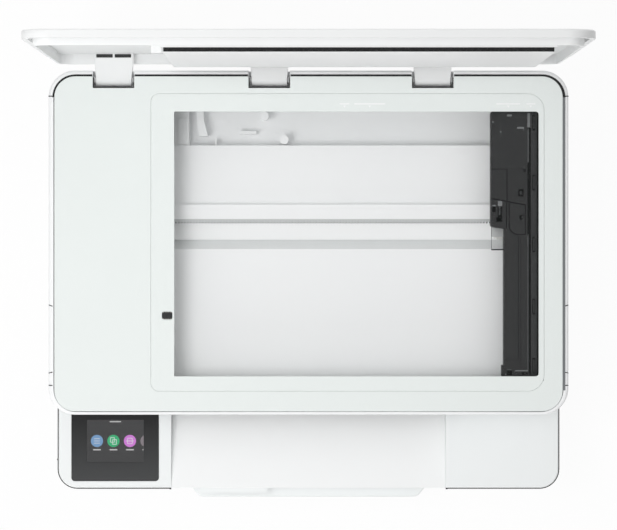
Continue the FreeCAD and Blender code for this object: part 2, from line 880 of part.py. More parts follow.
for side, sign, y0 in (("left", "-1", "-30"), ("right", "1", "-6")):
    wall_x = ("-paper_half - 2.4", "-paper_half") if side == "left" else (
        "paper_half", "paper_half + 2.4"
    )
    foot_x = ("-paper_half - 2.4", "-paper_half + 45") if side == "left" else (
        "paper_half - 45", "paper_half + 2.4"
    )
    rib = block(f"guide_rib_{side}", wall_x, ("-0.6 * guide_length", "0.4 * guide_length"), guide_z)
    sole = block(f"guide_sole_{side}", foot_x, (y0, f"{y0} + 18"), foot_z)
    node(f"width_guide_{side}", join(f"width_guide_{side}_body", rib, sole))
stop_plate = block("stop_plate", ("-18", "18"), ("tray_front + 1", "tray_front + 3.4"), guide_z)
stop_sole = block("stop_sole", ("-10", "10"), ("tray_front + 1", "tray_front + 36"), foot_z)
node("length_guide", join("length_guide_body", stop_plate, stop_sole))

# Scanner pan: a shallow box with hinge pockets, the steps of its floor and posts for the cover.
tub = slab(
    "tub_block",
    ("scan_low", "shell_top"),
    ("-scan_half", "scan_half"),
    ("scan_front", "scan_rear"),
    "shell_corner",
)
soften(tub, "2.6", lambda p: near("shell_top", p.z) or near("scan_low", p.z))
tub_hollow = slab(
    "tub_hollow",
    ("scan_floor", "panel_top + 1"),
    ("-inner_half", "inner_half"),
    ("scan_front + shell_wall - 1.9", "scan_rear - shell_wall + 0.6"),
    "shell_corner - 3",
)
grips = both(
    lambda side, sign: block(
        f"grip_{side}",
        ("-scan_half - 1", "grip_depth - scan_half") if sign == "-1" else (
            "scan_half - grip_depth", "scan_half + 1"
        ),
        ("scan_front + grip_front", "scan_front + grip_front + grip_length"),
        ("scan_low + 4", "scan_low + 4 + grip_height"),
    )
)
tub_walls = trim("tub_walls", tub, tub_hollow, *grips)
in_x = ("1 - inner_half", "inner_half - 1")
shelf_rear = block("shelf_rear", in_x, ("rail_y1", "shelf_rear_y"), ("scan_floor - 0.5", "shelf_z"))
shelf_front = block(
    "shelf_front", in_x, ("shelf_front_y", "ramp_foot_y + 0.2"), ("scan_floor - 0.5", "shelf_z")
)
rail_block = block("rail_block", in_x, ("rail_y0", "rail_y1"), ("scan_floor - 0.5", "rail_z"))
rail_grooves = [
    block(
        f"rail_groove_{i}",
        in_x,
        (f"rail_y0 + {y}", f"rail_y0 + {y} + 0.8"),
        ("rail_z - 0.6", "rail_z + 1"),
    )
    for i, y in enumerate(("3.4", "8.2"))
]
rail_bar = trim("rail_bar", rail_block, *rail_grooves)
ramp_step = profile("floor_ramp", in_x, [
    ("ramp_foot_y", "scan_floor - 0.5"), ("ramp_foot_y + 8", "scan_floor - 0.5"),
    ("ramp_foot_y + 8", "scan_floor + 7"), ("ramp_foot_y", "shelf_z")])
pegs = [
    rod(
        f"peg_{i}",
        "z",
        (x, f"window_y1 - {back}", "scan_floor - 0.5"),
        "3.8",
        "shelf_z - scan_floor + 2",
    )
    for i, (x, back) in enumerate([("window_x0 + 74.6", "2.6"), ("window_x0 + 91.4", "22.5")])
]
ribs = [
    block(
        f"rib_{i}",
        (f"window_x0 + {x0}", f"window_x0 + {x1}"),
        (f"window_y1 - {y0}", f"window_y1 - {y1}"),
        ("scan_floor - 0.5", f"scan_floor + {top}"),
    )
    for i, (x0, x1, y0, y1, top) in enumerate(
        [
            ("-0.9", "11.4", "28.5", "-4", "12"),
            ("53.7", "67.9", "17.8", "15", "8"),
            ("32.9", "34.4", "28.5", "22", "11"),
        ]
    )
]
cable_clip = plan("cable_clip", ("scan_floor - 0.5", "scan_floor + 15"), [
    ("window_x0 + 17.5", "window_y1 + 4"), ("window_x0 + 17.9", "window_y1 - 10.2"),
    ("window_x0 + 20", "window_y1 - 19.4"), ("window_x0 + 27.2", "window_y1 - 19.4"),
    ("window_x0 + 23.8", "window_y1 - 6.8"), ("window_x0 + 23.4", "window_y1 + 4")])
LEGS = ("leg_left", "leg_middle", "leg_right")
pockets = []
notches = []
for leg in LEGS:
    pockets.append(
        block(
            f"pocket_{leg}",
            (f"{leg} - notch_half - wall", f"{leg} + notch_half + wall"),
            ("pivot_y - 9.3", "scan_rear - 1.5"),
            ("notch_low - wall", "cover_low"),
        )
    )
    notches.append(block(f"notch_{leg}", (f"{leg} - notch_half", f"{leg} + notch_half"),
                         ("pivot_y - 7.1", "scan_rear + 1"), ("notch_low", "panel_top + 1")))
    notches.append(
        rod(
            f"pin_seat_{leg}",
            "x",
            (f"{leg} - notch_half - wall + 0.4", "pivot_y", "pivot_z"),
            "lid_pin + run_gap",
            "2 * notch_half + 2 * wall - 0.8",
        )
    )
spots = [
    ("-inner_half + 14", "scan_front + 20"),
    ("inner_half - 7.5", "scan_front + 20"),
    ("-inner_half + 14", "scan_rear - 34"),
    ("inner_half - 8", "scan_rear - 34"),
    ("-inner_half + 14", "scan_front + 140"),
    ("inner_half - 6", "scan_front + 140"),
]
studs = [rod(f"stud_{i}", "z", (x, y, "scan_floor - 0.5"), "4.5", "cover_low - scan_floor + 0.5")
         for i, (x, y) in enumerate(spots)]
knuckles = []
for side, sign in (("left", "-1"), ("right", "1")):
    x0 = f"{sign} * knuckle_at - knuckle_width / 2"
    x1 = f"{sign} * knuckle_at + knuckle_width / 2"
    knuckles.append(
        block(
            f"knuckle_{side}",
            (x0, x1),
            ("ear_y - ear_radius", "ear_y + ear_radius"),
            ("ear_z", "scan_low + 1"),
        )
    )
    knuckles.append(
        rod(f"knuckle_eye_{side}", "x", (x0, "ear_y", "ear_z"), "ear_radius", "knuckle_width")
    )
    knuckles.append(
        rod(
            f"trunnion_{side}",
            "x",
            (f"{x0} - ear_width", "ear_y", "ear_z"),
            "hinge_pin",
            "knuckle_width + 2 * ear_width",
        )
    )
void_x = ("1 + wall - inner_half", "inner_half - 1 - wall")
voids = [
    block(f"void_{i}", void_x, (y0, y1), ("scan_low - 1", top))
    for i, (y0, y1, top) in enumerate(
        [
            ("shelf_front_y + wall", "ramp_foot_y - wall", "shelf_z - wall"),
            ("rail_y0 + wall", "rail_y1 - wall", "rail_z - wall"),
            ("rail_y1 + wall", "shelf_rear_y - wall", "shelf_z - wall"),
        ]
    )
]
tub_sum = join(
    "tub_sum",
    tub_walls,
    shelf_rear,
    shelf_front,
    rail_bar,
    ramp_step,
    *pegs,
    *ribs,
    cable_clip,
    *pockets,
    *studs,
    *knuckles,
)
node("scanner_pan", trim("scanner_pan_body", tub_sum, *notches, *voids))

# Scanner cover: the top plate with a frame that carries the glass, the bezel over the glass's rim.
cover_x = ("side_seam - inner_half", "inner_half - side_seam")
cover_plate = slab(
    "cover_plate",
    ("cover_low", "panel_top"),
    cover_x,
    ("cover_front", "cover_rear"),
    "shell_corner - 4.5",
)
soften(cover_plate, "0.5", lambda p: near("panel_top", p.z))
cover_frame = slab(
    "cover_frame_block",
    ("cover_low - cover_frame", "cover_low + 0.5"),
    ("bezel_x0 - 2.5", "bezel_x1 + 2.5"),
    ("bezel_y0 - 2.5", "bezel_y1 + 1.8"),
    "9",
)


def bezel_plate(name, z, play):
    """The bezel's outline, tighter at its left corners than at its right ones."""
    left = f"bezel_x0 + ({play})"
    right = f"bezel_x1 - ({play})"
    front = f"bezel_y0 + ({play})"
    rear = f"bezel_y1 - ({play})"
    plate = plan(name, z, [(left, front), (right, front), (right, rear), (left, rear)])
    for side, radius in ((left, "bezel_round_left"), (right, "bezel_round_right")):
        soften(
            plate,
            f"{radius} - ({play})",
            lambda p: near(side, p.x) and near(f"({z[0]} + {z[1]}) / 2", p.z) and (
                near(front, p.y) or near(rear, p.y)
            ),
        )
    return plate


bezel_pocket = bezel_plate("bezel_pocket", ("glass_top", "panel_top + 1"), "0")
glass_x = ("window_x0 - glass_lap", "window_x1 + glass_lap")
glass_y = ("window_y0 - glass_lap", "window_y1 + glass_lap")
glass_pocket = slab("glass_pocket", ("glass_low", "panel_top + 1"),
                    ("window_x0 - glass_lap - seam / 2", "window_x1 + glass_lap + seam / 2"),
                    ("window_y0 - glass_lap - seam / 2", "window_y1 + glass_lap + seam / 2"), "1.2")
frame_hole = slab(
    "frame_hole",
    ("glass_low - 20", "panel_top + 2"),
    ("window_x0 - 1.2", "window_x1 + 1.2"),
    ("window_y0 - 1.2", "window_y1 + 1.2"),
    "0.4 * window_corner",
)
cover_notches = [
    block(
        f"cover_notch_{leg}",
        (f"{leg} - notch_half", f"{leg} + notch_half"),
        ("pivot_y - 7.1", "scan_rear + 1"),
        ("cover_low - 1", "panel_top + 1"),
    )
    for leg in LEGS
]
node(
    "scanner_cover",
    trim(
        "scanner_cover_body",
        join("cover_sum", cover_plate, cover_frame),
        bezel_pocket,
        glass_pocket,
        frame_hole,
        *cover_notches,
    ),
)
bezel = bezel_plate("bezel_plate", ("glass_top", "panel_top"), "seam / 2")
soften(bezel, "0.25", lambda p: near("panel_top", p.z))
window = slab(
    "window_hole",
    ("glass_top - 1", "panel_top + 1"),
    ("window_x0", "window_x1"),
    ("window_y0", "window_y1"),
    "window_corner",
)
sensor_y = "scan_front + 79.7"
sensor_hole = slab(
    "sensor_hole",
    ("glass_top - 1", "panel_top + 1"),
    ("window_x0 - 10.3", "window_x0 - 1.5"),
    (f"{sensor_y} - 0.2", f"{sensor_y} + 6.4"),
    "1.7",
)
node("glass_bezel", trim("glass_bezel_body", bezel, window, sensor_hole))
node("scan_glass", slab("glass_plate", ("glass_low", "glass_top"), glass_x, glass_y, "1"))
node(
    "lid_sensor",
    slab(
        "sensor_plate",
        ("glass_top", "panel_top - 0.2"),
        ("window_x0 - 10.1", "window_x0 - 1.7"),
        (sensor_y, f"{sensor_y} + 6.2"),
        "1.5",
    ),
)

# Toothed rack on the front of the pan's rail.


def rack_shape():
    """A toothed strip along X whose teeth face the front, with a gap at the pinion."""
    module = number("tooth_module")
    pitch = math.pi * module
    y = number("rack_pitch_y")
    back = number("rail_y0")
    half = pitch / 4 - number("backlash") / 2
    lean = math.tan(math.radians(20)) * module
    left = number("window_x0 - 8")
    right = number("window_x1 + 8")
    middle = number("pinion_x")
    first = math.ceil((left + pitch - middle) / pitch - 0.5)
    last = math.floor((right - pitch - middle) / pitch - 0.5)
    root_y = y + 1.1 * module
    corners = [Vector(right, back, 0), Vector(left, back, 0), Vector(left, root_y, 0)]
    for k in range(first, last + 1):
        x = middle + (k + 0.5) * pitch
        corners += [
            Vector(x - half - 1.1 * lean, root_y, 0),
            Vector(x - half + 0.8 * lean, y - 0.8 * module, 0),
            Vector(x + half - 0.8 * lean, y - 0.8 * module, 0),
            Vector(x + half + 1.1 * lean, root_y, 0),
        ]
    corners.append(Vector(right, root_y, 0))
    return Part.Face(Part.makePolygon(corners + corners[:1])).extrude(
        Vector(0, 0, number("rack_width"))
    )


rack = doc.addObject("Part::Feature", "rack_strip")
rack.Shape = rack_shape()
rack.Placement = FreeCAD.Placement(Vector(0, 0, number("rail_z - rack_width")), Rotation())
node("scan_rack", rack)

# Scan head: housing on the rail, optical bar, motor and pinion.
head = plan(
    "head_block",
    ("head_low", "head_top"),
    [
        ("head_left", "window_y1 + 0.6"),
        ("window_x1", "window_y1 + 0.6"),
        ("window_x1", "window_y0 - 0.4"),
        ("nose_left - 1.6", "window_y0 - 0.4"),
        ("nose_left - 1.6", "window_y0 + 8.8"),
        ("nose_left", "window_y0 + 8.8"),
        ("nose_left", "scan_front + head_step - 1.6"),
        ("head_left", "scan_front + head_step"),
    ],
)
soften(
    head,
    "2.2",
    lambda p: near("head_left", p.x) and near("(head_low + head_top) / 2", p.z),
)
soften(head, "0.6", lambda p: near("head_top", p.z))
shoe = block(
    "head_shoe",
    ("head_left + 2", "window_x1 - 2"),
    ("rail_y0 + 1", "rail_y1 - 1"),
    ("rail_z", "head_low + 1"),
)
hook = block(
    "head_hook",
    ("head_left + 2", "window_x1 - 2"),
    ("rail_y1 + slide_gap", "rail_y1 + 4"),
    ("rail_z - 4", "head_low + 1"),
)
bearing = block(
    "head_bearing",
    ("head_left + 1.5", "nose_left + 1"),
    ("pinion_y - 4.2", "scan_front + head_step + 1"),
    ("head_low", "head_low + bearing_height"),
)
bar_slot = block(
    "bar_slot",
    ("window_x1 - 7", "window_x1 - 1"),
    ("window_y0 + 2", "window_y1 - 2"),
    ("head_top - 2.2", "head_top + 1"),
)
axle_hole = rod("axle_hole", "z", ("pinion_x", "pinion_y", "head_low - 1"), "2 + run_gap", "7")
motor_hole = rod("motor_hole", "z", ("head_left + 13", "rail_y1 + 30", "head_low - 1"), "7", "9")
node(
    "scan_head",
    trim("scan_head_body", join("head_sum", head, bearing, shoe, hook), bar_slot, axle_hole,
         motor_hole),
)
node(
    "optical_bar",
    block(
        "bar_strip",
        ("window_x1 - 7", "window_x1 - 1"),
        ("window_y0 + 2", "window_y1 - 2"),
        ("head_top - 2.2", "head_top - 0.3"),
    ),
)
node(
    "scan_motor",
    rod(
        "scan_motor_can",
        "z",
        ("head_left + 13", "rail_y1 + 30", "shelf_z + 1"),
        "7",
        "head_low + 8 - shelf_z - 1",
    ),
)
wheel = gear(
    "scan_wheel",
    "scan_teeth",
    "tooth_module",
    "rack_width - 2",
    ("pinion_x", "pinion_y", "rail_z - rack_width + 1"),
    10,
    "z",
)
node(
    "scan_pinion",
    join(
        "scan_pinion_body",
        wheel,
        rod(
            "scan_axle",
            "z",
            ("pinion_x", "pinion_y", "rail_z - 2"),
            "2",
            "head_low + 4 - rail_z + 2",
        ),
    ),
)

# Lid: skin with a rim, frame with walls and a platform, pad of foam and sheet, three hinge legs.
skin = upright(
    "skin_block",
    ("wall_plane + 5.3", "lid_face"),
    ("-lid_half", "lid_half"),
    ("lid_low", "lid_high"),
    "lid_corner",
)
soften(skin, "1.6", lambda p: near("lid_face", p.y))
skin_hollow = upright(
    "skin_hollow",
    ("wall_plane", "lid_floor"),
    ("lid_lip - lid_half", "lid_half - lid_lip"),
    ("lid_low - 1", "lid_high - lid_lip"),
    "lid_corner - lid_lip",
)
hollow_low = block(
    "skin_hollow_low",
    ("lid_lip - lid_half", "lid_half - lid_lip"),
    ("wall_plane", "lid_floor"),
    ("lid_low - 1", "lid_low + 40"),
)
node("lid_skin", trim("lid_skin_body", skin, skin_hollow, hollow_low))
frame_x = ("lid_inset - lid_half", "lid_half - lid_inset")
frame_z = ("lid_low + 0.5", "lid_high - lid_inset")
frame_block = upright(
    "frame_block", ("wall_plane", "lid_floor"), frame_x, frame_z, "lid_corner - lid_inset"
)
frame_hollow = upright(
    "frame_hollow",
    ("wall_plane - 1", "lid_floor - frame_floor"),
    ("lid_inset + frame_wall - lid_half", "lid_half - lid_inset - frame_wall"),
    ("lid_low + 0.5 + frame_wall", "lid_high - lid_inset - frame_wall"),
    "lid_corner - lid_inset - frame_wall",
)
platform = block("platform", ("pad_x0 - 1.5", "pad_x1 + 1.5"), ("wall_plane", "lid_floor - 0.5"),
                 ("pad_low - 1.5", "pad_high + 1.5"))
platform_hollow = block(
    "platform_hollow",
    ("pad_x0", "pad_x1"),
    ("wall_plane + 1.5", "lid_floor + 1"),
    ("pad_low", "pad_high"),
)
boss = block(
    "frame_boss",
    ("pad_x0 - 12.3", "pad_x0 - 3.8"),
    ("wall_plane", "lid_floor - 0.5"),
    ("pad_low + 0.62 * pad_height", "pad_low + 0.62 * pad_height + 7"),
)
frame_tray = trim("frame_tray", frame_block, frame_hollow)
leg_slots = [
    block(
        f"leg_slot_{leg}",
        (f"{leg} - leg_width / 2 - seam", f"{leg} + leg_width / 2 + seam"),
        ("wall_plane - 1", "lid_floor - frame_floor"),
        ("lid_low - 1", "pivot_z + leg_thick / 2 + seam"),
    )
    for leg in LEGS
]
node(
    "lid_frame",
    trim(
        "lid_frame_body", join("frame_sum", frame_tray, platform, boss), platform_hollow, *leg_slots
    ),
)
node(
    "pad_foam",
    block(
        "foam_plate",
        ("pad_x0 + 0.6", "pad_x1 - 0.6"),
        ("wall_plane - foam_thick", "wall_plane"),
        ("pad_low + 0.6", "pad_high - 0.6"),
    ),
)
node(
    "pad_sheet",
    upright(
        "sheet_plate",
        ("wall_plane - foam_thick - sheet_thick", "wall_plane - foam_thick"),
        ("pad_x0", "pad_x1"),
        ("pad_low", "pad_high"),
        "1.5",
    ),
)
for leg in LEGS:
    arm = plan(
        f"{leg}_arm",
        ("pivot_z - leg_thick / 2", "pivot_z + leg_thick / 2"),
        [
            (f"{leg} - leg_width / 2 + 1.3", "pivot_y"),
            (f"{leg} + leg_width / 2 - 1.3", "pivot_y"),
            (f"{leg} + leg_width / 2", "wall_plane"),
            (f"{leg} + leg_width / 2", "lid_floor - frame_floor"),
            (f"{leg} - leg_width / 2", "lid_floor - frame_floor"),
            (f"{leg} - leg_width / 2", "wall_plane"),
        ],
    )
    end = rod(
        f"{leg}_end",
        "x",
        (f"{leg} - leg_width / 2 + 1.3", "pivot_y", "pivot_z"),
        "leg_thick / 2",
        "leg_width - 2.6",
    )
    stub = rod(
        f"{leg}_stub",
        "x",
        (f"{leg} - notch_half - wall + 0.6", "pivot_y", "pivot_z"),
        "lid_pin",
        "2 * notch_half + 2 * wall - 1.2",
    )
    slots = [
        block(
            f"{leg}_slot_{i}",
            (f"{leg} + {x0}", f"{leg} + {x1}"),
            ("lid_floor - 4.8", "lid_floor - 1.8"),
            ("pivot_z + leg_thick / 2 - 3", "pivot_z + leg_thick / 2 + 1"),
        )
        for i, (x0, x1) in enumerate([("-14.6", "-0.8"), ("0.8", "14.6")])
    ]
    node(f"hinge_{leg}", trim(f"hinge_{leg}_body", join(f"{leg}_sum", arm, end, stub), *slots))

# Engine frame of bent sheet: two side plates on the pan's floor and a beam between them.
side_y = ("exit_y - 14", "beam_rear")
plates = [
    block(
        "frame_plate_left",
        ("frame_left", "frame_left + frame_sheet"),
        side_y,
        ("floor_top", "frame_top"),
    ),
    block(
        "frame_plate_right",
        ("frame_right", "frame_right + frame_sheet"),
        side_y,
        ("floor_top", "frame_top"),
    ),
    block(
        "frame_beam",
        ("frame_left", "frame_right + frame_sheet"),
        ("beam_y", "beam_rear"),
        ("beam_low", "frame_top"),
    ),
]
idler_pin = rod(
    "idler_pin", "y", ("pulley_x", "belt_y - 1", "pulley_z"), "1.6", "beam_y - belt_y + 1.5"
)
gear_pin = rod("gear_pin", "x", ("gear_x - 0.5", "idler_y", "feed_z"), "2", "gear_width + 2")
cross = ("frame_left - 1", "frame_span + 2")
shaft_holes = [
    rod(f"shaft_hole_{name}", "x", (cross[0], y, z), radius, cross[1])
    for name, y, z, radius in (
        ("feed", "feed_y", "feed_z", "shaft_radius + run_gap"),
        ("exit", "exit_y", "feed_z", "shaft_radius + run_gap"),
        ("pinch", "feed_y", "pinch_z", "1.2 + run_gap"),
        ("star", "exit_y", "star_z", "1.2 + run_gap"),
        ("rod", "rod_y", "rod_z", "rod_radius"),
    )
]
motor_shaft_hole = rod(
    "motor_shaft_hole", "x", ("frame_left - 1", "motor_y", "feed_z"), "3", "frame_sheet + 2"
)
drive_hole = rod("drive_hole", "y", ("-pulley_x", "beam_y - 1", "pulley_z"), "3", "frame_sheet + 2")
node(
    "engine_frame",
    trim(
        "engine_frame_body",
        join("engine_sum", *plates, idler_pin, gear_pin),
        *shaft_holes,
        motor_shaft_hole,
        drive_hole,
    ),
)
node(
    "guide_rod",
    rod("guide_bar", "x", ("frame_left - 2", "rod_y", "rod_z"), "rod_radius", "frame_span + 4"),
)

# Feed train: rollers with their gears, idler, motor and pinion, pinch rollers and star wheels.
shaft_from = "gear_x - 1"
shaft_long = "frame_right + frame_sheet + 2 - gear_x + 1"
for name, y, turn in (("feed", "feed_y", 0), ("exit", "exit_y", 4.5)):
    bar = rod(f"{name}_shaft", "x", (shaft_from, y, "feed_z"), "shaft_radius", shaft_long)
    if name == "feed":
        sleeves = [
            rod(
                "feed_sleeve",
                "x",
                ("3 - paper_half", y, "feed_z"),
                "roller_radius",
                "2 * paper_half - 6",
            )
        ]
    else:
        sleeves = [
            rod(
                f"exit_tyre_{i}",
                "x",
                (f"{i - 2} * (paper_half - 17) / 2 - 6", y, "feed_z"),
                "roller_radius",
                "12",
            )
            for i in range(5)
        ]
    cog = gear(
        f"{name}_cog",
        "feed_teeth",
        "gear_module",
        "gear_width",
        ("gear_x", y, "feed_z"),
        turn * 40 / number("feed_teeth"),
    )
    node(f"{name}_roller", join(f"{name}_roller_body", bar, *sleeves, cog))
half_idle = 180 / number("idler_teeth")
idler = gear(
    "idler_cog",
    "idler_teeth",
    "gear_module",
    "gear_width",
    ("gear_x", "idler_y", "feed_z"),
    half_idle,
    "x",
    "2 + run_gap",
)
node("idler_gear", idler)
pinion = gear(
    "pinion_cog",
    "idler_teeth",
    "gear_module",
    "gear_width",
    ("gear_x", "motor_y", "feed_z"),
    0,
    "x",
    "1.5",
)
node("motor_pinion", pinion)
motor_can = rod(
    "feed_motor_can", "x", ("frame_left + frame_sheet", "motor_y", "feed_z"), "motor_radius", "26"
)
motor_shaft = rod(
    "feed_motor_shaft",
    "x",
    ("gear_x - 0.5", "motor_y", "feed_z"),
    "1.5",
    "frame_left + 3 - gear_x + 0.5",
)
node("feed_motor", join("feed_motor_body", motor_can, motor_shaft))
for name, y, z, radius, wide in (
    ("pinch", "feed_y", "pinch_z", "pinch_radius", "26"),
    ("star", "exit_y", "star_z", "star_radius", "1.6"),
):
    bar = rod(f"{name}_bar", "x", ("frame_left - 1", y, z), "1.2", "frame_span + 2")
    count = 4 if name == "pinch" else 8
    discs = [
        rod(
            f"{name}_disc_{i}",
            "x",
            (f"{i - (count - 1) / 2} * (paper_half - 5) * 2 / {count} - ({wide}) / 2", y, z),
            radius,
            wide,
        )
        for i in range(count)
    ]
    node("pinch_rollers" if name == "pinch" else "star_wheels", join(f"{name}_wheels", bar, *discs))

# Platen over the tray, and the paper guide that turns the sheet round at the rear.
bridge = block(
    "platen_bridge",
    ("-column_half - 1", "column_half + 1"),
    ("carriage_front", "feed_y - roller_radius - 2"),
    ("paper_level - 7", "paper_level - 0.6"),
)
platen_legs = both(
    lambda side, sign: block(
        f"platen_leg_{side}",
        ("-column_half - 1", "2 - column_half") if sign == "-1" else (
            "column_half - 2", "column_half + 1"
        ),
        ("carriage_front", "feed_y - roller_radius - 2"),
        ("floor_top", "paper_level - 1"),
    )
)
grooves = [
    block(
        f"platen_groove_{i}",
        (f"{i - 3.5} * (column_half - 5) / 4 - 9", f"{i - 3.5} * (column_half - 5) / 4 + 9"),
        ("carriage_front + 4", "feed_y - roller_radius - 6"),
        ("paper_level - 3", "paper_level"),
    )
    for i in range(8)
]
node("platen", trim("platen_body", join("platen_sum", bridge, *platen_legs), *grooves))
turn_block = block(
    "turn_block",
    ("-tray_half", "tray_half"),
    ("tray_rear + 1", "tray_rear + 30"),
    ("floor_top", "turn_z + 28"),
)
turn_round = rod(
    "turn_round", "x", ("-tray_half - 1", "tray_rear + 1", "turn_z"), "24", "2 * tray_half + 2"
)
top_plate = block(
    "guide_top",
    ("-tray_half", "tray_half"),
    ("beam_rear", "tray_rear + 2"),
    ("turn_z + 24.4", "turn_z + 26.4"),
)
hangers = both(
    lambda side, sign: block(
        f"pick_hanger_{side}",
        ("-20", "-16.5") if sign == "-1" else ("16.5", "20"),
        ("pick_y - 6", "pick_y + 6"),
        ("pick_z - 5", "turn_z + 25"),
    )
)
hanger_bore = rod("hanger_bore", "x", ("-22", "pick_y", "pick_z"), "2 + run_gap", "44")
turn = trim("turn_body", turn_block, turn_round)
node(
    "paper_guide",
    trim("paper_guide_body", join("guide_sum", turn, top_plate, *hangers), hanger_bore),
)
pick_plates = both(
    lambda side, sign: profile(
        f"pick_plate_{side}",
        ("-14", "-11") if sign == "-1" else ("11", "14"),
        [
            ("pick_y - 4", "pick_z"),
            ("pick_y", "pick_z - 4.5"),
            ("pick_roller_y", "pick_roller_z - 4"),
            ("pick_roller_y + 4", "pick_roller_z"),
            ("pick_roller_y", "pick_roller_z + 4"),
            ("pick_y", "pick_z + 4.5"),
        ],
    )
)
pick_pin = rod("pick_pin", "x", ("-20", "pick_y", "pick_z"), "2", "40")
pick_bar = rod(
    "pick_bar", "x", ("-14", "pick_y + 0.4 * pick_reach", "pick_z - 0.4 * pick_fall"), "3", "28"
)
pick_bore = rod("pick_bore", "x", ("-16", "pick_roller_y", "pick_roller_z"), "1.8 + run_gap", "32")
node(
    "pick_arm", trim("pick_arm_body", join("pick_sum", *pick_plates, pick_pin, pick_bar), pick_bore)
)
node(
    "pick_roller",
    join(
        "pick_roller_body",
        rod("pick_tyre", "x", ("-10.4", "pick_roller_y", "pick_roller_z"), "pick_radius", "20.8"),
        rod("pick_axle", "x", ("-14.6", "pick_roller_y", "pick_roller_z"), "1.8", "29.2"),
    ),
)

# Ink carriage with two cartridges and their latches, and its belt drive.
wide_x = ("carriage_left", "carriage_right")
nose = block(
    "carriage_nose", wide_x, ("carriage_front", "feed_y - 9"), ("carriage_low", "carriage_high")
)
back = block(
    "carriage_back_block", wide_x, ("feed_y - 9.5", "carriage_back"), ("back_low", "carriage_high")
)
clamp = block(
    "belt_clamp",
    ("carriage_x - 8", "carriage_x + 8"),
    ("carriage_back - 1", "belt_y + belt_width + 1.8"),
    ("pulley_z - belt_outer - 3.5", "pulley_z - belt_inner + 2.5"),
)
belt_slot = block(
    "belt_slot",
    ("carriage_x - 9", "carriage_x + 9"),
    ("belt_y - slide_gap", "belt_y + belt_width + slide_gap"),
    ("pulley_z - belt_outer - slide_gap", "pulley_z - belt_inner + slide_gap"),
)
rod_bore = rod(
    "rod_bore",
    "x",
    ("carriage_left - 1", "rod_y", "rod_z"),
    "rod_radius + run_gap",
    "carriage_width + 2",
)
cut_outs = [belt_slot, rod_bore]
lugs = []
sill_gaps = []
BAYS = {"left": "carriage_x - carriage_width / 4", "right": "carriage_x + carriage_width / 4"}
for side, middle in BAYS.items():
    bay_x = (f"{middle} - cartridge_width / 2 - seam", f"{middle} + cartridge_width / 2 + seam")
    mouth_x = (f"{middle} - jet_half - seam", f"{middle} + jet_half + seam")
    cut_outs += [
        block(
            f"bay_space_{side}",
            bay_x,
            ("carriage_front - 1", "feed_y - 2"),
            ("carriage_low + 2", "carriage_high + 1"),
        ),
        block(
            f"mouth_{side}",
            mouth_x,
            ("carriage_front + 9.7", "carriage_front + 30.3"),
            ("carriage_low - 1", "carriage_low + 3"),
        ),
        rod(
            f"latch_bore_{side}",
            "x",
            (f"{middle} - 18.8", "latch_y", "latch_z"),
            "latch_pin + run_gap",
            "37.6",
        ),
    ]
    for i, (inner_x, outer_x) in enumerate((("-18.6", "-16"), ("16", "18.6"))):
        lug_x = (f"{middle} + {inner_x}", f"{middle} + {outer_x}")
        lugs.append(
            block(
                f"latch_lug_{side}_{i}",
                lug_x,
                ("carriage_front - 3.4", "carriage_front + 0.5"),
                ("latch_z - 2.5", "latch_z + 2.5"),
            )
        )
    sill_gaps.append(
        block(
            f"sill_gap_{side}",
            mouth_x,
            ("carriage_front - 1", "carriage_front + 3"),
            ("carriage_low + 6", "carriage_low + 9"),
        )
    )
cut_outs.append(
    block("bay_floor_gap", wide_x, ("feed_y - 9", "feed_y - 2"), ("carriage_low", "back_low"))
)
carriage = trim("carriage_cut", join("carriage_sum", nose, back, clamp, *lugs), *cut_outs)
sill = block(
    "bay_sill",
    wide_x,
    ("carriage_front", "carriage_front + 1.6"),
    ("carriage_low", "carriage_low + 8"),
)
node("ink_carriage", join("ink_carriage_body", carriage, trim("sill_cut", sill, *sill_gaps)))
for side, name in (("left", "colour_cartridge"), ("right", "black_cartridge")):
    middle = BAYS[side]
    tank_x = (f"{middle} - cartridge_width / 2", f"{middle} + cartridge_width / 2")
    tank = block(
        f"{name}_tank",
        tank_x,
        ("carriage_front + 2", "feed_y - 2.3"),
        ("back_low + seam", "carriage_high - 3"),
    )
    stem = block(
        f"{name}_stem",
        tank_x,
        ("carriage_front + 2", "feed_y - 10.5"),
        ("carriage_low + 2", "carriage_high - 4"),
    )
    jet = block(
        f"{name}_jet",
        (f"{middle} - jet_half", f"{middle} + jet_half"),
        ("carriage_front + 10", "carriage_front + 30"),
        ("carriage_low - 0.7", "carriage_low + 3"),
    )
    node(name, join(f"{name}_body", tank, stem, jet))
    flap = block(
        f"flap_{side}",
        (f"{middle} - 14", f"{middle} + 14"),
        ("carriage_front - 2.6", "carriage_front - 0.4"),
        ("latch_z", "carriage_high - 4"),
    )
    hub = rod(
        f"flap_hub_{side}", "x", (f"{middle} - 18.2", "latch_y", "latch_z"), "latch_pin", "36.4"
    )
    node(f"latch_{side}", join(f"latch_{side}_body", flap, hub))
loop = upright(
    "belt_loop",
    ("belt_y", "belt_y + belt_width"),
    ("-pulley_x - belt_outer", "pulley_x + belt_outer"),
    ("pulley_z - belt_outer", "pulley_z + belt_outer"),
    "belt_outer - 0.001",
)
hole = upright(
    "belt_hole",
    ("belt_y - 1", "belt_y + belt_width + 1"),
    ("-pulley_x - belt_inner", "pulley_x + belt_inner"),
    ("pulley_z - belt_inner", "pulley_z + belt_inner"),
    "belt_inner - 0.001",
)
node("drive_belt", trim("drive_belt_body", loop, hole))
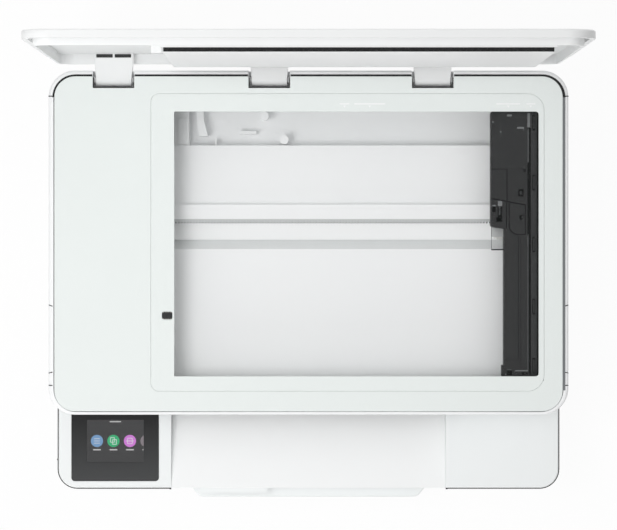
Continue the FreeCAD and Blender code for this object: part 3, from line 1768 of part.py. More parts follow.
for name, x, bore in (
    ("drive_pulley", "-pulley_x", "1.5"), ("idler_pulley", "pulley_x", "1.6 + run_gap")
):
    drum = rod(
        f"{name}_drum", "y", (x, "belt_y - 0.5", "pulley_z"), "pulley_radius", "belt_width + 1"
    )
    node(
        name,
        trim(
            f"{name}_body",
            drum,
            rod(f"{name}_bore", "y", (x, "belt_y - 2", "pulley_z"), bore, "belt_width + 4"),
        ),
    )
node(
    "carriage_motor",
    join(
        "carriage_motor_body",
        rod(
            "carriage_motor_can", "y", ("-pulley_x", "beam_rear", "pulley_z"), "motor_radius", "28"
        ),
        rod(
            "carriage_motor_shaft",
            "y",
            ("-pulley_x", "belt_y - 0.5", "pulley_z"),
            "1.5",
            "beam_y + 5 - belt_y",
        ),
    ),
)

# Service station under the parked carriage, with two soft caps.
station_x = ("column_half + 3", "frame_right - 2")
station = block("station_block", station_x, ("carriage_front", "feed_y - shaft_radius - 4"),
                ("floor_top", "carriage_low - 5"))
caps = [
    block(
        f"cap_{side}",
        (f"{middle} - 9", f"{middle} + 9"),
        ("carriage_front + 11", "carriage_front + 29"),
        ("carriage_low - 5.5", "carriage_low - 1.2"),
    )
    for side, middle in BAYS.items()
]
node("service_station", join("service_station_body", station, *caps))

# Electronics, sockets and rear buttons.
board = block(
    "board_plate",
    ("7.5 - base_half", "-column_half - 5"),
    ("deck_front + 12", "deck_front + 110"),
    ("floor_top + 6.5", "floor_top + 8.1"),
)
chips = [
    block(
        f"chip_{i}",
        (f"{x0} - base_half", f"{x1} - base_half"),
        (f"deck_front + {y0}", f"deck_front + {y1}"),
        ("floor_top + 8", f"floor_top + {top}"),
    )
    for i, (x0, x1, y0, y1, top) in enumerate(
        [
            ("33.5", "53.5", "40", "60", "10"),
            ("63.5", "77.5", "44", "58", "9.6"),
            ("17.5", "27.5", "80", "104", "14"),
            ("63.5", "85.5", "82", "90", "13"),
        ]
    )
]
node("main_board", join("main_board_body", board, *chips))
node(
    "power_supply",
    block(
        "supply_case",
        ("column_half + 6", "base_half - wall - 5"),
        ("beam_rear + 6", "base_rear - wall - 12"),
        ("floor_top", "port_z + 14"),
    ),
)
inlet_block = block(
    "inlet_block",
    ("inlet_x - 14", "inlet_x + 14"),
    ("base_rear - wall - 12", "base_rear + 0.6"),
    ("port_z - 10", "port_z + 10"),
)
inlet_space = slab(
    "inlet_space",
    ("port_z - 5", "port_z + 5"),
    ("inlet_x - 9", "inlet_x + 9"),
    ("base_rear - 11", "base_rear + 2"),
    "0.5",
)
blades = both(
    lambda side, sign: rod(
        f"blade_{side}", "y", (f"inlet_x + {sign} * 4.3", "base_rear - 12", "port_z"), "1.2", "5"
    )
)
node("power_inlet", join("power_inlet_body", trim("inlet_cut", inlet_block, inlet_space), *blades))
socket_block = block(
    "socket_block",
    ("socket_x - 8", "socket_x + 8"),
    ("base_rear - wall - 14", "base_rear + 0.4"),
    ("port_z - 8", "port_z + 8"),
)
socket_space = block(
    "socket_space",
    ("socket_x - 4.3", "socket_x + 4.3"),
    ("base_rear - 11", "base_rear + 2"),
    ("port_z - 4", "port_z + 4"),
)
socket_foot = block(
    "socket_foot",
    ("socket_x - 7", "socket_x + 7"),
    ("base_rear - wall - 14", "base_rear - wall - 3"),
    ("floor_top", "port_z - 7"),
)
node(
    "data_socket",
    join("data_socket_body", trim("socket_cut", socket_block, socket_space), socket_foot),
)
cap = rod(
    "button_cap",
    "y",
    ("button_x", "base_rear - wall - 1", "button_z"),
    "button_radius",
    "wall + 2.2",
)
flange = rod(
    "button_flange",
    "y",
    ("button_x", "base_rear - wall - 1.6", "button_z"),
    "button_radius + 1.6",
    "1.6",
)
node("power_button", join("power_button_body", cap, flange))

doc.recompute()
for item in doc.Objects:
    if {"Invalid", "Error"} & set(item.State):
        raise RuntimeError(f"{item.Name} failed: {item.State}")
os.makedirs("parts", exist_ok=True)
for name, item in NODES.items():
    if item.Shape.isNull() or not item.Shape.isValid():
        raise RuntimeError(f"{name} has no valid shape")
    item.Shape.exportStep(f"parts/{name}.step")
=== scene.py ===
# %% [markdown]
# # An all-in-one inkjet printer with its scanner lid open
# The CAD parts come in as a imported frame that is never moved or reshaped. This lesson sets up
# the camera and the light, gives every part the finish that its real counterpart has, and then
# builds the thin trims, screen graphics, fasteners and pads that CAD leaves to Blender.

# %% Load the frame
import math

import bmesh
import bpy
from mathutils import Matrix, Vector


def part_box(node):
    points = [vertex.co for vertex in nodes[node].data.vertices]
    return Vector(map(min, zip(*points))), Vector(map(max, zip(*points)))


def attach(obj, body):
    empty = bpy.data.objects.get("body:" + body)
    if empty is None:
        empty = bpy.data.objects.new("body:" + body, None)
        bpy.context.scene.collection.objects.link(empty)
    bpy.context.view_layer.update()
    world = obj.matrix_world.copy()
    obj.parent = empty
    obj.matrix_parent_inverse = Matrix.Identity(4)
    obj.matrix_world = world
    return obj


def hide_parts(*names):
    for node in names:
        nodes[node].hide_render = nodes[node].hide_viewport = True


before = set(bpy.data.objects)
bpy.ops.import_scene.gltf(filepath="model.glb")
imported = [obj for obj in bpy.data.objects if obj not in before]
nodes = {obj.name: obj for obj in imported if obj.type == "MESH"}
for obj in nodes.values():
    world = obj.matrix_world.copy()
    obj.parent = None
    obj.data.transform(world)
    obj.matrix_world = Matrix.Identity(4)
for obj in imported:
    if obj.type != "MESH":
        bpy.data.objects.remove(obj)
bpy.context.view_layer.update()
scene = bpy.context.scene

# %% [markdown]
# ## Camera
# The picture is a catalogue view from straight above: a long lens, about three metres away, so
# that the open lid, which stands up towards the camera, grows only a little. The lens axis hits
# the scanner a little behind its middle, and a small shift puts the printer in the frame.

# %% Camera
MM = 0.001
FRAME_WIDTH, FRAME_HEIGHT = 617, 530
FOCAL_PIXELS = 3360
AXIS_ROW = 238
CAMERA_Y = 32.4
CAMERA_HEIGHT = 2945
FAR_END = 60

lens = bpy.data.cameras.new("catalogue_lens")
lens.sensor_fit = "HORIZONTAL"
lens.lens = lens.sensor_width * FOCAL_PIXELS / FRAME_WIDTH
lens.shift_y = (AXIS_ROW - FRAME_HEIGHT / 2) / FRAME_WIDTH
lens.clip_end = FAR_END
camera = bpy.data.objects.new("catalogue_camera", lens)
camera.location = (0, CAMERA_Y * MM, CAMERA_HEIGHT * MM)
scene.collection.objects.link(camera)
scene.camera = camera
scene.view_settings.view_transform = "Standard"
print("camera: focal length", round(lens.lens, 1), "mm")

# %% [markdown]
# ## Colour and nodes
# Colours are written as sRGB hex values, the way a paint card gives them, and one function turns
# them into the linear numbers that shaders add up. A second small function adds a node, fills
# its sockets and links it, so that every finish below reads as a short recipe.


# %% Colour and nodes
def linear(hex_colour):
    """An sRGB hex colour as linear red, green, blue and alpha."""
    parts = [int(hex_colour[i:i + 2], 16) / 255 for i in (1, 3, 5)]
    return (*[c / 12.92 if c <= 0.04045 else ((c + 0.055) / 1.055) ** 2.4 for c in parts], 1.0)


def join(tree, node, links):
    """Link a node's sockets, each from (node, output)."""
    for key, (source, output) in links.items():
        tree.links.new(source.outputs[output], node.inputs[key])


def put(tree, kind, settings=None, links=None):
    """Add a node, set its properties or sockets, and link it."""
    node = tree.nodes.new(kind)
    for key, value in (settings or {}).items():
        if isinstance(key, str) and hasattr(node, key):
            setattr(node, key, value)
        else:
            node.inputs[key].default_value = value
    join(tree, node, links or {})
    return node


print("white in linear light:", [round(c, 3) for c in linear("#F4F6F6")])

# %% [markdown]
# ## Studio
# White goods are photographed in a tent of soft light. Its roof is brighter than its walls, which
# keeps deep places such as the scanner's tub light. Three large lamps give the slow fall of tone
# from left to right, and a fourth fills the back, which the open lid keeps out of this picture.
# The floor is seamless paper: the camera and reflections see it as white, and it keeps a soft
# shadow.

# %% Studio
TENT_ROOF = 0.85
TENT_WALL = 0.03
# Each lamp: its place and width in metres, and its power in watts.
LAMPS = {
    "near_left": ((-0.45, -0.1, 1.15), 0.5, 2.75),
    "top_left": ((-0.5, -0.2, 1.7), 0.7, 2.8),
    "low_front_left": ((-0.8, -1.9, 0.8), 1.2, 10.0),
    "low_back": ((0.0, 2.3, 0.6), 0.6, 12.0),
}
LAMP_AIM = Vector((0, 0, 0.1))
PAPER_GLOW = 0.93
FLOOR_HALF = 15


def seen_directly(tree):
    """A value of 1 for the rays that look at the background, and 0 for those that light."""
    path = put(tree, "ShaderNodeLightPath")
    bounced = put(tree, "ShaderNodeMath", {"operation": "MAXIMUM"},
                  {0: (path, "Is Glossy Ray"), 1: (path, "Is Transmission Ray")})
    return put(tree, "ShaderNodeMath", {"operation": "MAXIMUM"},
               {0: (path, "Is Camera Ray"), 1: (bounced, 0)})


world = bpy.data.worlds.new("light_tent")
scene.world = world
world.use_nodes = True
sky = world.node_tree
sky.nodes.clear()
where = put(sky, "ShaderNodeTexCoord")
height = put(sky, "ShaderNodeSeparateXYZ", {}, {0: (where, "Generated")})
tent = put(sky, "ShaderNodeMapRange", {"To Min": TENT_WALL, "To Max": TENT_ROOF},
           {"Value": (height, "Z")})
level = put(sky, "ShaderNodeMapRange", {"To Max": 1.0},
            {"Value": (seen_directly(sky), 0), "To Min": (tent, 0)})
glow = put(sky, "ShaderNodeBackground", {"Color": linear("#FFFFFF")}, {"Strength": (level, 0)})
put(sky, "ShaderNodeOutputWorld", {}, {"Surface": (glow, 0)})

for name, (place, width, watts) in LAMPS.items():
    lamp = bpy.data.lights.new(name, "AREA")
    lamp.shape = "DISK"
    lamp.size = width
    lamp.energy = watts
    holder = bpy.data.objects.new(name, lamp)
    holder.location = place
    holder.rotation_euler = (LAMP_AIM - Vector(place)).to_track_quat("-Z", "Y").to_euler()
    holder.visible_camera = False
    holder.visible_glossy = False
    scene.collection.objects.link(holder)

paper = bpy.data.materials.new("seamless_paper")
paper.use_nodes = True
sheet = paper.node_tree
sheet.nodes.clear()
matt = put(sheet, "ShaderNodeBsdfDiffuse", {"Color": linear("#F4F4F4")})
bright = put(sheet, "ShaderNodeEmission", {"Color": linear("#FFFFFF"), "Strength": 1.0})
share = put(sheet, "ShaderNodeMath", {"operation": "MULTIPLY", 1: PAPER_GLOW},
            {0: (seen_directly(sheet), 0)})
blend = put(sheet, "ShaderNodeMixShader", {}, {0: (share, 0), 1: (matt, 0), 2: (bright, 0)})
put(sheet, "ShaderNodeOutputMaterial", {}, {"Surface": (blend, 0)})

floor_mesh = bpy.data.meshes.new("studio_floor")
spots = [(x * FLOOR_HALF, y * FLOOR_HALF, 0) for x, y in ((-1, -1), (1, -1), (1, 1), (-1, 1))]
floor_mesh.from_pydata(spots, [], [(0, 1, 2, 3)])
floor_mesh.materials.append(paper)
floor = bpy.data.objects.new("studio_floor", floor_mesh)
scene.collection.objects.link(floor)
print("studio:", len(LAMPS), "lamps over white paper")

# %% [markdown]
# ## Moulded plastics
# Nearly all of the printer is injection-moulded ABS. The steel mould is spark-eroded, so the
# plastic comes out with a fine, even grain that breaks up reflections. That grain is finer than
# a tenth of a millimetre and would not show, so it is drawn about ten times as coarse, and very
# shallow. A second, broad noise stands for the flow of the melt, which shifts the tone a little.

# %% Moulded plastics
FLOW_LENGTH = 90
GRAIN_RELIEF = 0.35
GLOSS_DRIFT = 0.06


def finish(name, settings):
    """A new node material: itself, its node tree, its shader and its object coordinates."""
    material = bpy.data.materials.new(name)
    material.use_nodes = True
    tree = material.node_tree
    tree.nodes.clear()
    shader = put(tree, "ShaderNodeBsdfPrincipled", settings)
    put(tree, "ShaderNodeOutputMaterial", {}, {"Surface": (shader, 0)})
    return material, tree, shader, (put(tree, "ShaderNodeTexCoord"), "Object")


def moulded(name, colour, flow_colour, grain, depth, rough, ior=1.53, shine=0.5):
    """Moulded plastic: grain and depth in mm, with a slow drift between two near colours."""
    material, tree, shader, at = finish(name, {"IOR": ior, "Specular IOR Level": shine})
    spark = put(tree, "ShaderNodeTexNoise", {"Scale": 1 / (grain * MM), "Detail": 2.0},
                {"Vector": at})
    flow = put(tree, "ShaderNodeTexNoise", {"Scale": 1 / (FLOW_LENGTH * MM), "Detail": 3.0},
               {"Vector": at})
    tone = put(tree, "ShaderNodeMix",
               {"data_type": "RGBA", 6: linear(colour), 7: linear(flow_colour)}, {0: (flow, 0)})
    gloss = put(tree, "ShaderNodeMapRange",
                {"To Min": rough - GLOSS_DRIFT, "To Max": rough + GLOSS_DRIFT},
                {"Value": (spark, 0)})
    relief = put(tree, "ShaderNodeBump", {"Strength": GRAIN_RELIEF, "Distance": depth * MM},
                 {"Height": (spark, 0)})
    join(tree, shader, {"Base Color": (tone, 2), "Roughness": (gloss, 0), "Normal": (relief, 0)})
    return material


# White outer shells: satin, so they show broad highlights and no mirror image.
white_abs = moulded("white_abs_fine_grain", "#F5F7F7", "#F1F4F4", 1.1, 0.05, 0.46)
# The scanner's top panel is a cooler white with a tighter grain that glass-cleaning cloths pass.
panel_abs = moulded("cool_white_abs_panel", "#EDF2F0", "#EAEFED", 0.9, 0.04, 0.42)
# The lid's skin is polished a step further, and its frame inside is a touch whiter.
lid_abs = moulded("white_abs_lid_satin", "#F1F2F2", "#EEEFEF", 1.3, 0.03, 0.36)
frame_abs = moulded("white_abs_lid_frame", "#F5F6F6", "#F2F3F3", 1.2, 0.04, 0.42)
# Paper slides out over this one: a plain, very white plastic with no flow marks.
chute_abs = moulded("white_abs_paper_chute", "#FDFEFE", "#FBFCFC", 1.1, 0.04, 0.44)
# The scanner's tub is left matt and painted whiter than the shells, painted light that lifts it
# against the shade of its walls.
lit_tub_abs = moulded("matt_white_abs_inside_painted_light", "#FBFCFC", "#F8F9FA", 1.6, 0.05, 0.6)
# Charcoal parts that carry the sensor: a coarse matt grain that hides fingerprints.
charcoal_abs = moulded("charcoal_abs_matt", "#2C2C2D", "#272728", 0.8, 0.06, 0.55, shine=0.3)
# The sensor's bar is a separate moulding, painted one shade lighter: painted light against the
# shade that the bezel casts on it, so that its clips stand out.
lit_bar_abs = moulded("charcoal_abs_sensor_bar_painted_light", "#363637", "#313132", 0.8, 0.06, 0.55, shine=0.3)
# A blacker, drier plastic for the head's dark joints and the home flag's edges, and for painted
# shade in the head's wells and in the vent holes.
joint_and_shade_black = moulded("black_joints_and_painted_shade", "#111112", "#0E0E0F", 0.8, 0.05, 0.6, shine=0.12)
# Paper path and carriage: a soft black on which stains of ink don't show.
black_abs = moulded("black_abs_fine_grain", "#2A2B2C", "#242526", 0.9, 0.05, 0.48)
# Guides that the hand is meant to find: a flat grey between the black tray and the white shells.
grey_abs = moulded("mid_grey_abs", "#9CA1A4", "#949A9D", 1.0, 0.05, 0.5)
# Gears and pulleys are acetal: waxy and milky, with no paint and hardly any grain.
acetal = moulded("natural_acetal", "#F1F1EF", "#EBEBE6", 2.0, 0.02, 0.38, ior=1.48)
# Sockets are PBT filled with glass fibre: black with a dry look.
port_pbt = moulded("black_glass_filled_pbt", "#1F2021", "#26272A", 0.6, 0.05, 0.58)
# Cartridge bodies are polypropylene: slightly milky black.
tank_pp = moulded("black_polypropylene_tank", "#313236", "#2B2C30", 1.4, 0.03, 0.4, ior=1.49)
print("moulded plastics: 14 finishes")

# %% [markdown]
# ## Painted shade on the rack
# The rack that the scan head climbs along is acetal too. Shade is painted on its top, darkest on
# the teeth, while its sides stay white. Two ramps over the position give that: one over the depth
# of the teeth and one over the height of the top face.

# %% Painted shade on the rack
RACK_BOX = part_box("scan_rack")
TOOTH_TIPS, RACK_TOP = RACK_BOX[0][1], RACK_BOX[1][2]
TOOTH_DEPTH, SHADE_FADE = 1.0, 0.5
TOP_SHADE_START, TOP_SHADE_END = 0.3, 0.1

# Painted shade on the rack's top: darkest on the teeth, grey behind them, with white sides.
shaded_rack_acetal, tree, shader, at = finish("rack_acetal_painted_shade", {"Roughness": 0.36, "IOR": 1.48})
place = put(tree, "ShaderNodeSeparateXYZ", {}, {0: at})
tooth_shade_fade = put(tree, "ShaderNodeMapRange",
            {"From Min": TOOTH_TIPS + TOOTH_DEPTH * MM,
             "From Max": TOOTH_TIPS + (TOOTH_DEPTH + SHADE_FADE) * MM}, {"Value": (place, "Y")})
tooth_shade = put(tree, "ShaderNodeMix",
             {"data_type": "RGBA", 6: linear("#2A2B2B"), 7: linear("#C6C8C8")}, {0: (tooth_shade_fade, 0)})
top_face_mask = put(tree, "ShaderNodeMapRange",
             {"From Min": RACK_TOP - TOP_SHADE_START * MM, "From Max": RACK_TOP - TOP_SHADE_END * MM},
             {"Value": (place, "Z")})
tone = put(tree, "ShaderNodeMix", {"data_type": "RGBA", 6: linear("#F8F8F7")},
           {0: (top_face_mask, 0), 7: (tooth_shade, 2)})
join(tree, shader, {"Base Color": (tone, 2)})
print("greased rack: teeth", TOOTH_DEPTH, "mm deep")

# %% [markdown]
# ## Rubber, foam and film
# Rollers and feet are vulcanised rubber: dark, very matt, with fine ground marks. The lid's pad
# is open-cell foam with a white plastic film on it. The film is what presses the page flat, and
# it is the whitest thing on the printer.

# %% Rubber, foam and film
# Rollers are ground to size, so they are dull, and only their edges catch light.
rubber = moulded("ground_nitrile_rubber", "#2C2D2E", "#343536", 0.7, 0.08, 0.82, ior=1.52)
# Feet are moulded in a paler rubber that leaves no marks on a table.
foot_rubber = moulded("moulded_foot_rubber", "#5A5D60", "#525558", 1.0, 0.06, 0.78, ior=1.52)
# The belt's fabric back gives it the dry look of cloth.
belt_neoprene = moulded("neoprene_belt", "#1E1F20", "#27282A", 0.8, 0.08, 0.75, ior=1.52)
# Film has no grain of its own: a clean white with an even, low gloss.
film_pet = moulded("white_pet_film", "#FCFCFC", "#F9F9FA", 2.4, 0.02, 0.5, ior=1.57)

# Foam: a cell pattern is a sheet of bubbles, so the cut face looks dark and pitted.
FOAM_CELL = 1.4
FOAM_PIT = 0.5
foam, tree, shader, at = finish("open_cell_polyurethane_foam", {"Roughness": 0.95})
cells = put(tree, "ShaderNodeTexVoronoi", {"Scale": 1 / (FOAM_CELL * MM)}, {"Vector": at})
tone = put(tree, "ShaderNodeMix",
           {"data_type": "RGBA", 6: linear("#19191A"), 7: linear("#303031")},
           {0: (cells, "Distance")})
relief = put(tree, "ShaderNodeBump", {"Strength": 0.8, "Distance": FOAM_PIT * MM, "invert": True},
             {"Height": (cells, "Distance")})
join(tree, shader, {"Base Color": (tone, 2), "Normal": (relief, 0)})
print("soft finishes: 5")

# %% [markdown]
# ## Metals
# The chassis is zinc-coated sheet, which shows large pale crystals, the spangle. The guide rod
# is ground round its axis, so its scratches run round it. Motor cans are drawn and nickel
# plated. All are plain metals: metallic 1, the colour of the metal, and roughness for the finish.

# %% Metals
SPANGLE = 7.0
GRIND_PITCH = 0.5
GRIND_DEPTH = 0.02
PLATING_HAZE = 4


def hazed(name, haze, detail, rough, settings, colours=None):
    """A smooth finish: roughness, and the tone if it has two, drift over haze mm."""
    material, tree, shader, at = finish(name, settings)
    drift = put(tree, "ShaderNodeTexNoise", {"Scale": 1 / (haze * MM), "Detail": detail},
                {"Vector": at})
    gloss = put(tree, "ShaderNodeMapRange", {"To Min": rough[0], "To Max": rough[1]},
                {"Value": (drift, 0)})
    links = {"Roughness": (gloss, 0)}
    if colours:
        first, second = (linear(colour) for colour in colours)
        tone = put(tree, "ShaderNodeMix", {"data_type": "RGBA", 6: first, 7: second},
                   {0: (drift, 0)})
        links["Base Color"] = (tone, 2)
    join(tree, shader, links)
    return material


# Zinc: patches with straight borders, each with its own grey and its own gloss.
zinc_sheet, tree, shader, at = finish("zinc_coated_sheet_steel", {"Metallic": 1.0})
crystal = put(tree, "ShaderNodeTexVoronoi", {"Scale": 1 / (SPANGLE * MM)}, {"Vector": at})
tone = put(tree, "ShaderNodeMix",
           {"data_type": "RGBA", 6: linear("#B9BDC0"), 7: linear("#CBCFD1")},
           {0: (crystal, "Color")})
gloss = put(tree, "ShaderNodeMapRange", {"To Min": 0.28, "To Max": 0.46},
            {"Value": (crystal, "Color")})
join(tree, shader, {"Base Color": (tone, 2), "Roughness": (gloss, 0)})

# Ground steel: rings round the rod draw the highlight out along it. Real ones are finer than a
# tenth of a millimetre, so they are drawn coarser, to show.
ground_steel, tree, shader, at = finish(
    "ground_steel_rod", {"Base Color": linear("#C9CBCC"), "Metallic": 1.0})
stretch = put(tree, "ShaderNodeMapping", {"Scale": (1.0, 0.05, 0.05)}, {"Vector": at})
rings = put(tree, "ShaderNodeTexNoise", {"Scale": 1 / (GRIND_PITCH * MM), "Detail": 3.0},
            {"Vector": (stretch, 0)})
gloss = put(tree, "ShaderNodeMapRange", {"To Min": 0.16, "To Max": 0.34}, {"Value": (rings, 0)})
relief = put(tree, "ShaderNodeBump", {"Strength": 0.2, "Distance": GRIND_DEPTH * MM},
             {"Height": (rings, 0)})
join(tree, shader, {"Roughness": (gloss, 0), "Normal": (relief, 0)})

# Nickel plate: a warm grey with a cloudy gloss.
nickel_can = hazed("drawn_nickel_plate", PLATING_HAZE, 4.0, (0.2, 0.36), {"Metallic": 1.0},
                   ("#C4C2BB", "#B4B2AC"))
print("metals: 3")

# %% [markdown]
# ## Glass, acrylic and the circuit board
# The scanner's platen is float glass, so clear that it shows only as a faint tint and a gloss.
# Transparency here is alpha, not refraction: a flat sheet moves nothing, and the light has to
# reach what lies under it. The screen's cover is black acrylic, polished like a mirror.

# %% Glass, acrylic and the circuit board
TRACK_PITCH = 2.6
TRACK_RELIEF = 0.05
DUST, WIPE_MARK = 6, 25

# Platen glass: hardly any tint, and a clean reflection that thin dust dulls in places.
float_glass = hazed("float_glass_platen", DUST, 5.0, (0.02, 0.07),
                    {"Base Color": linear("#5E6864"), "IOR": 1.52, "Alpha": 0.02})
# Acrylic: a deep black that mirrors the tent, with the soft marks of wiping.
black_acrylic = hazed("black_polished_acrylic", WIPE_MARK, 4.0, (0.05, 0.14), {"IOR": 1.49},
                      ("#1E1F20", "#242526"))
# Circuit board: green lacquer over copper tracks, which stand out as lighter lines.
fr4_board, tree, shader, at = finish("green_solder_mask_on_fr4", {"Roughness": 0.32})
tracks = put(tree, "ShaderNodeTexBrick",
             {"Scale": 1 / (TRACK_PITCH * MM), "Mortar Size": 0.12, "Brick Width": 2.4,
              "Row Height": 0.8, "Color1": linear("#1E5B3C"), "Color2": linear("#236644"),
              "Mortar": linear("#3E8A5B")}, {"Vector": at})
relief = put(tree, "ShaderNodeBump", {"Strength": 0.4, "Distance": TRACK_RELIEF * MM},
             {"Height": (tracks, 1)})
join(tree, shader, {"Base Color": (tracks, 0), "Normal": (relief, 0)})
print("clear and printed finishes: 3")

# %% [markdown]
# ## Dress the CAD parts
# A mould has no knife edges: every outer edge of a real part has a radius of a few tenths of a
# millimetre, and that radius is what catches the light. A chain of modifiers gives the CAD
# parts that edge without touching their meshes: weld the triangles, merge flat faces, bevel.

# %% Dress the CAD parts
EDGE = {"fine": 0.12, "plain": 0.3, "soft": 0.5}
EDGE_STEPS = 2
EDGE_ANGLE = math.radians(35)
FLAT_ANGLE = math.radians(0.5)
WELD_GAP = 0.002


def dress(material, edge, *names):
    """Give CAD nodes a finish and a moulded edge."""
    for name in names:
        part = nodes[name]
        for spot in part.material_slots:
            spot.material = material
        weld = part.modifiers.new("weld", "WELD")
        weld.merge_threshold = WELD_GAP * MM
        flat = part.modifiers.new("flat", "DECIMATE")
        flat.decimate_type = "DISSOLVE"
        flat.angle_limit = FLAT_ANGLE
        rim = part.modifiers.new("edge", "BEVEL")
        rim.width = EDGE[edge] * MM
        rim.segments = EDGE_STEPS
        rim.limit_method = "ANGLE"
        rim.angle_limit = EDGE_ANGLE
        rim.harden_normals = True
    print(material.name, "on", len(names), "parts")


dress(white_abs, "plain", "base_shell", "base_pan", "deck_left", "deck_right",
      "output_extender", "tray_front", "port_plates")
dress(panel_abs, "plain", "scanner_cover", "glass_bezel")
dress(lit_tub_abs, "soft", "scanner_pan")
dress(lid_abs, "soft", "lid_skin")
dress(chute_abs, "plain", "output_ramp")
dress(frame_abs, "plain", "lid_frame", "hinge_leg_left", "hinge_leg_middle", "hinge_leg_right")
dress(film_pet, "fine", "pad_sheet")
dress(foam, "fine", "pad_foam")
dress(charcoal_abs, "fine", "lid_sensor", "scan_head")
dress(lit_bar_abs, "fine", "optical_bar")
dress(black_abs, "fine", "ink_carriage", "paper_guide", "platen", "pick_arm", "tray_pan",
      "service_station")
dress(grey_abs, "fine", "width_guide_left", "width_guide_right", "length_guide", "latch_left",
      "latch_right")
dress(shaded_rack_acetal, "fine", "scan_rack")
dress(acetal, "fine", "scan_pinion", "idler_gear", "motor_pinion", "drive_pulley",
      "idler_pulley", "star_wheels")
dress(rubber, "fine", "feed_roller", "exit_roller", "pinch_rollers", "pick_roller")
dress(foot_rubber, "plain", "feet")
dress(belt_neoprene, "fine", "drive_belt")
dress(zinc_sheet, "fine", "engine_frame", "power_supply")
dress(ground_steel, "fine", "guide_rod")
dress(nickel_can, "plain", "feed_motor", "carriage_motor", "scan_motor")
dress(float_glass, "fine", "scan_glass")
dress(black_acrylic, "fine", "screen_lens", "display_module")
dress(fr4_board, "fine", "main_board")
dress(port_pbt, "fine", "power_inlet", "data_socket")
dress(tank_pp, "plain", "black_cartridge", "colour_cartridge")
dress(white_abs, "fine", "power_button")

# %% [markdown]
# ## Small meshes
# The pieces that follow are thin plates, rings and turned shapes. Helpers build them face by
# face in millimetres: a plate from an outline, a rim between two outlines, and a lathe profile.
# Each finished piece becomes an object that rides on the CAD body that carries it.

# %% Small meshes
AXES = {
    "z": lambda u, v, w: (u, v, w),
    "y": lambda u, v, w: (u, w, v),
    "x": lambda u, v, w: (w, u, v),
}
SHARP_ANGLE = math.radians(40)
SINK = 0.1


def corners(name):
    """The lowest and highest corner of a CAD node, in mm."""
    low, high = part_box(name)
    return Vector(low) / MM, Vector(high) / MM


def rounded(u0, u1, v0, v1, radius, steps=5):
    """The outline of a rectangle with round corners."""
    centres = ((u1 - radius, v1 - radius), (u0 + radius, v1 - radius),
               (u0 + radius, v0 + radius), (u1 - radius, v0 + radius))
    outline = []
    for corner, (u, v) in enumerate(centres):
        for step in range(steps + 1):
            turn = math.pi / 2 * (corner + step / steps)
            outline.append((u + radius * math.cos(turn), v + radius * math.sin(turn)))
    return outline


def inset(area, gap):
    """A rectangle drawn in by gap on every side."""
    u0, u1, v0, v1 = area
    return u0 + gap, u1 - gap, v0 + gap, v1 - gap


def round_spot(u, v, radius, steps=28):
    """The outline of a disc."""
    turns = [2 * math.pi * i / steps for i in range(steps)]
    return [(u + radius * math.cos(turn), v + radius * math.sin(turn)) for turn in turns]


def plate(mesh, outline, low, high, soft=0.0, axis="z"):
    """A plate between two levels, with its rims rounded by soft."""
    place = AXES[axis]
    lower = [mesh.verts.new(place(u, v, low)) for u, v in outline]
    upper = [mesh.verts.new(place(u, v, high)) for u, v in outline]
    caps = [mesh.faces.new(lower), mesh.faces.new(upper)]
    for i in range(len(outline)):
        mesh.faces.new((lower[i - 1], lower[i], upper[i], upper[i - 1]))
    if soft:
        rims = list({edge for cap in caps for edge in cap.edges})
        bmesh.ops.bevel(mesh, geom=rims, offset=soft, segments=2, profile=0.5, affect="EDGES")


def tab(mesh, u, v, half_u, half_v, radius, low, high, axis="z"):
    """A small plate about a middle point."""
    outline = rounded(u - half_u, u + half_u, v - half_v, v + half_v, radius, 2)
    plate(mesh, outline, low, high, axis=axis)


def mark(mesh, outline, face, rise, axis="z"):
    """A thin raised shape on a face, sunk a little so that no gap shows."""
    plate(mesh, outline, face - SINK, face + rise, axis=axis)


def ring(mesh, outer, inner, low, high, axis="z"):
    """A closed rim between two outlines that have the same number of points."""
    place = AXES[axis]
    lines = ((outer, low), (outer, high), (inner, high), (inner, low))
    loops = [[mesh.verts.new(place(u, v, w)) for u, v in line] for line, w in lines]
    for here, there in zip(loops, loops[1:] + loops[:1]):
        for i in range(len(here)):
            mesh.faces.new((here[i - 1], here[i], there[i], there[i - 1]))


def band(mesh, pairs, low, high):
    """A strip with a square section: pairs are its inner and outer points, in order."""
    rows = []
    for inner, outer in pairs:
        section = ((inner, low), (inner, high), (outer, high), (outer, low))
        rows.append([mesh.verts.new((*spot, z)) for spot, z in section])
    for here, there in zip(rows, rows[1:]):
        for i in range(4):
            mesh.faces.new((here[i - 1], here[i], there[i], there[i - 1]))
    mesh.faces.new(rows[0])
    mesh.faces.new(rows[-1])


def turned(mesh, profile, u, v, w, axis="z", steps=28):
    """A lathe shape: profile lists (radius, height) from one end to the other."""
    place = AXES[axis]
    loops = []
    for radius, height in profile:
        spots = round_spot(u, v, radius, steps) if radius else [(u, v)]
        loops.append([mesh.verts.new(place(a, b, w + height)) for a, b in spots])
    for here, there in zip(loops, loops[1:]):
        for i in range(steps):
            around = (here[(i - 1) % len(here)], here[i % len(here)],
                      there[i % len(there)], there[(i - 1) % len(there)])
            mesh.faces.new(list(dict.fromkeys(around)))


def piece(name, mesh, material, body, edge=0.0):
    """Turn a bmesh in mm into an object that rides on a CAD body."""
    bmesh.ops.recalc_face_normals(mesh, faces=mesh.faces)
    bmesh.ops.scale(mesh, vec=(MM, MM, MM), verts=mesh.verts)
    data = bpy.data.meshes.new(name)
    mesh.to_mesh(data)
    mesh.free()
    data.materials.append(material)
    data.shade_smooth()
    data.set_sharp_from_angle(angle=SHARP_ANGLE)
    made = bpy.data.objects.new(name, data)
    scene.collection.objects.link(made)
    if edge:
        bevel = made.modifiers.new("edge", "BEVEL")
        bevel.width = edge * MM
        bevel.segments = EDGE_STEPS
        bevel.limit_method = "ANGLE"
        bevel.angle_limit = SHARP_ANGLE
    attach(made, body)
    print("piece", name, len(data.polygons), "faces on", body)
    return made


low, high = corners("scanner_cover")
print("scanner panel:", [round(side, 1) for side in high - low], "mm")

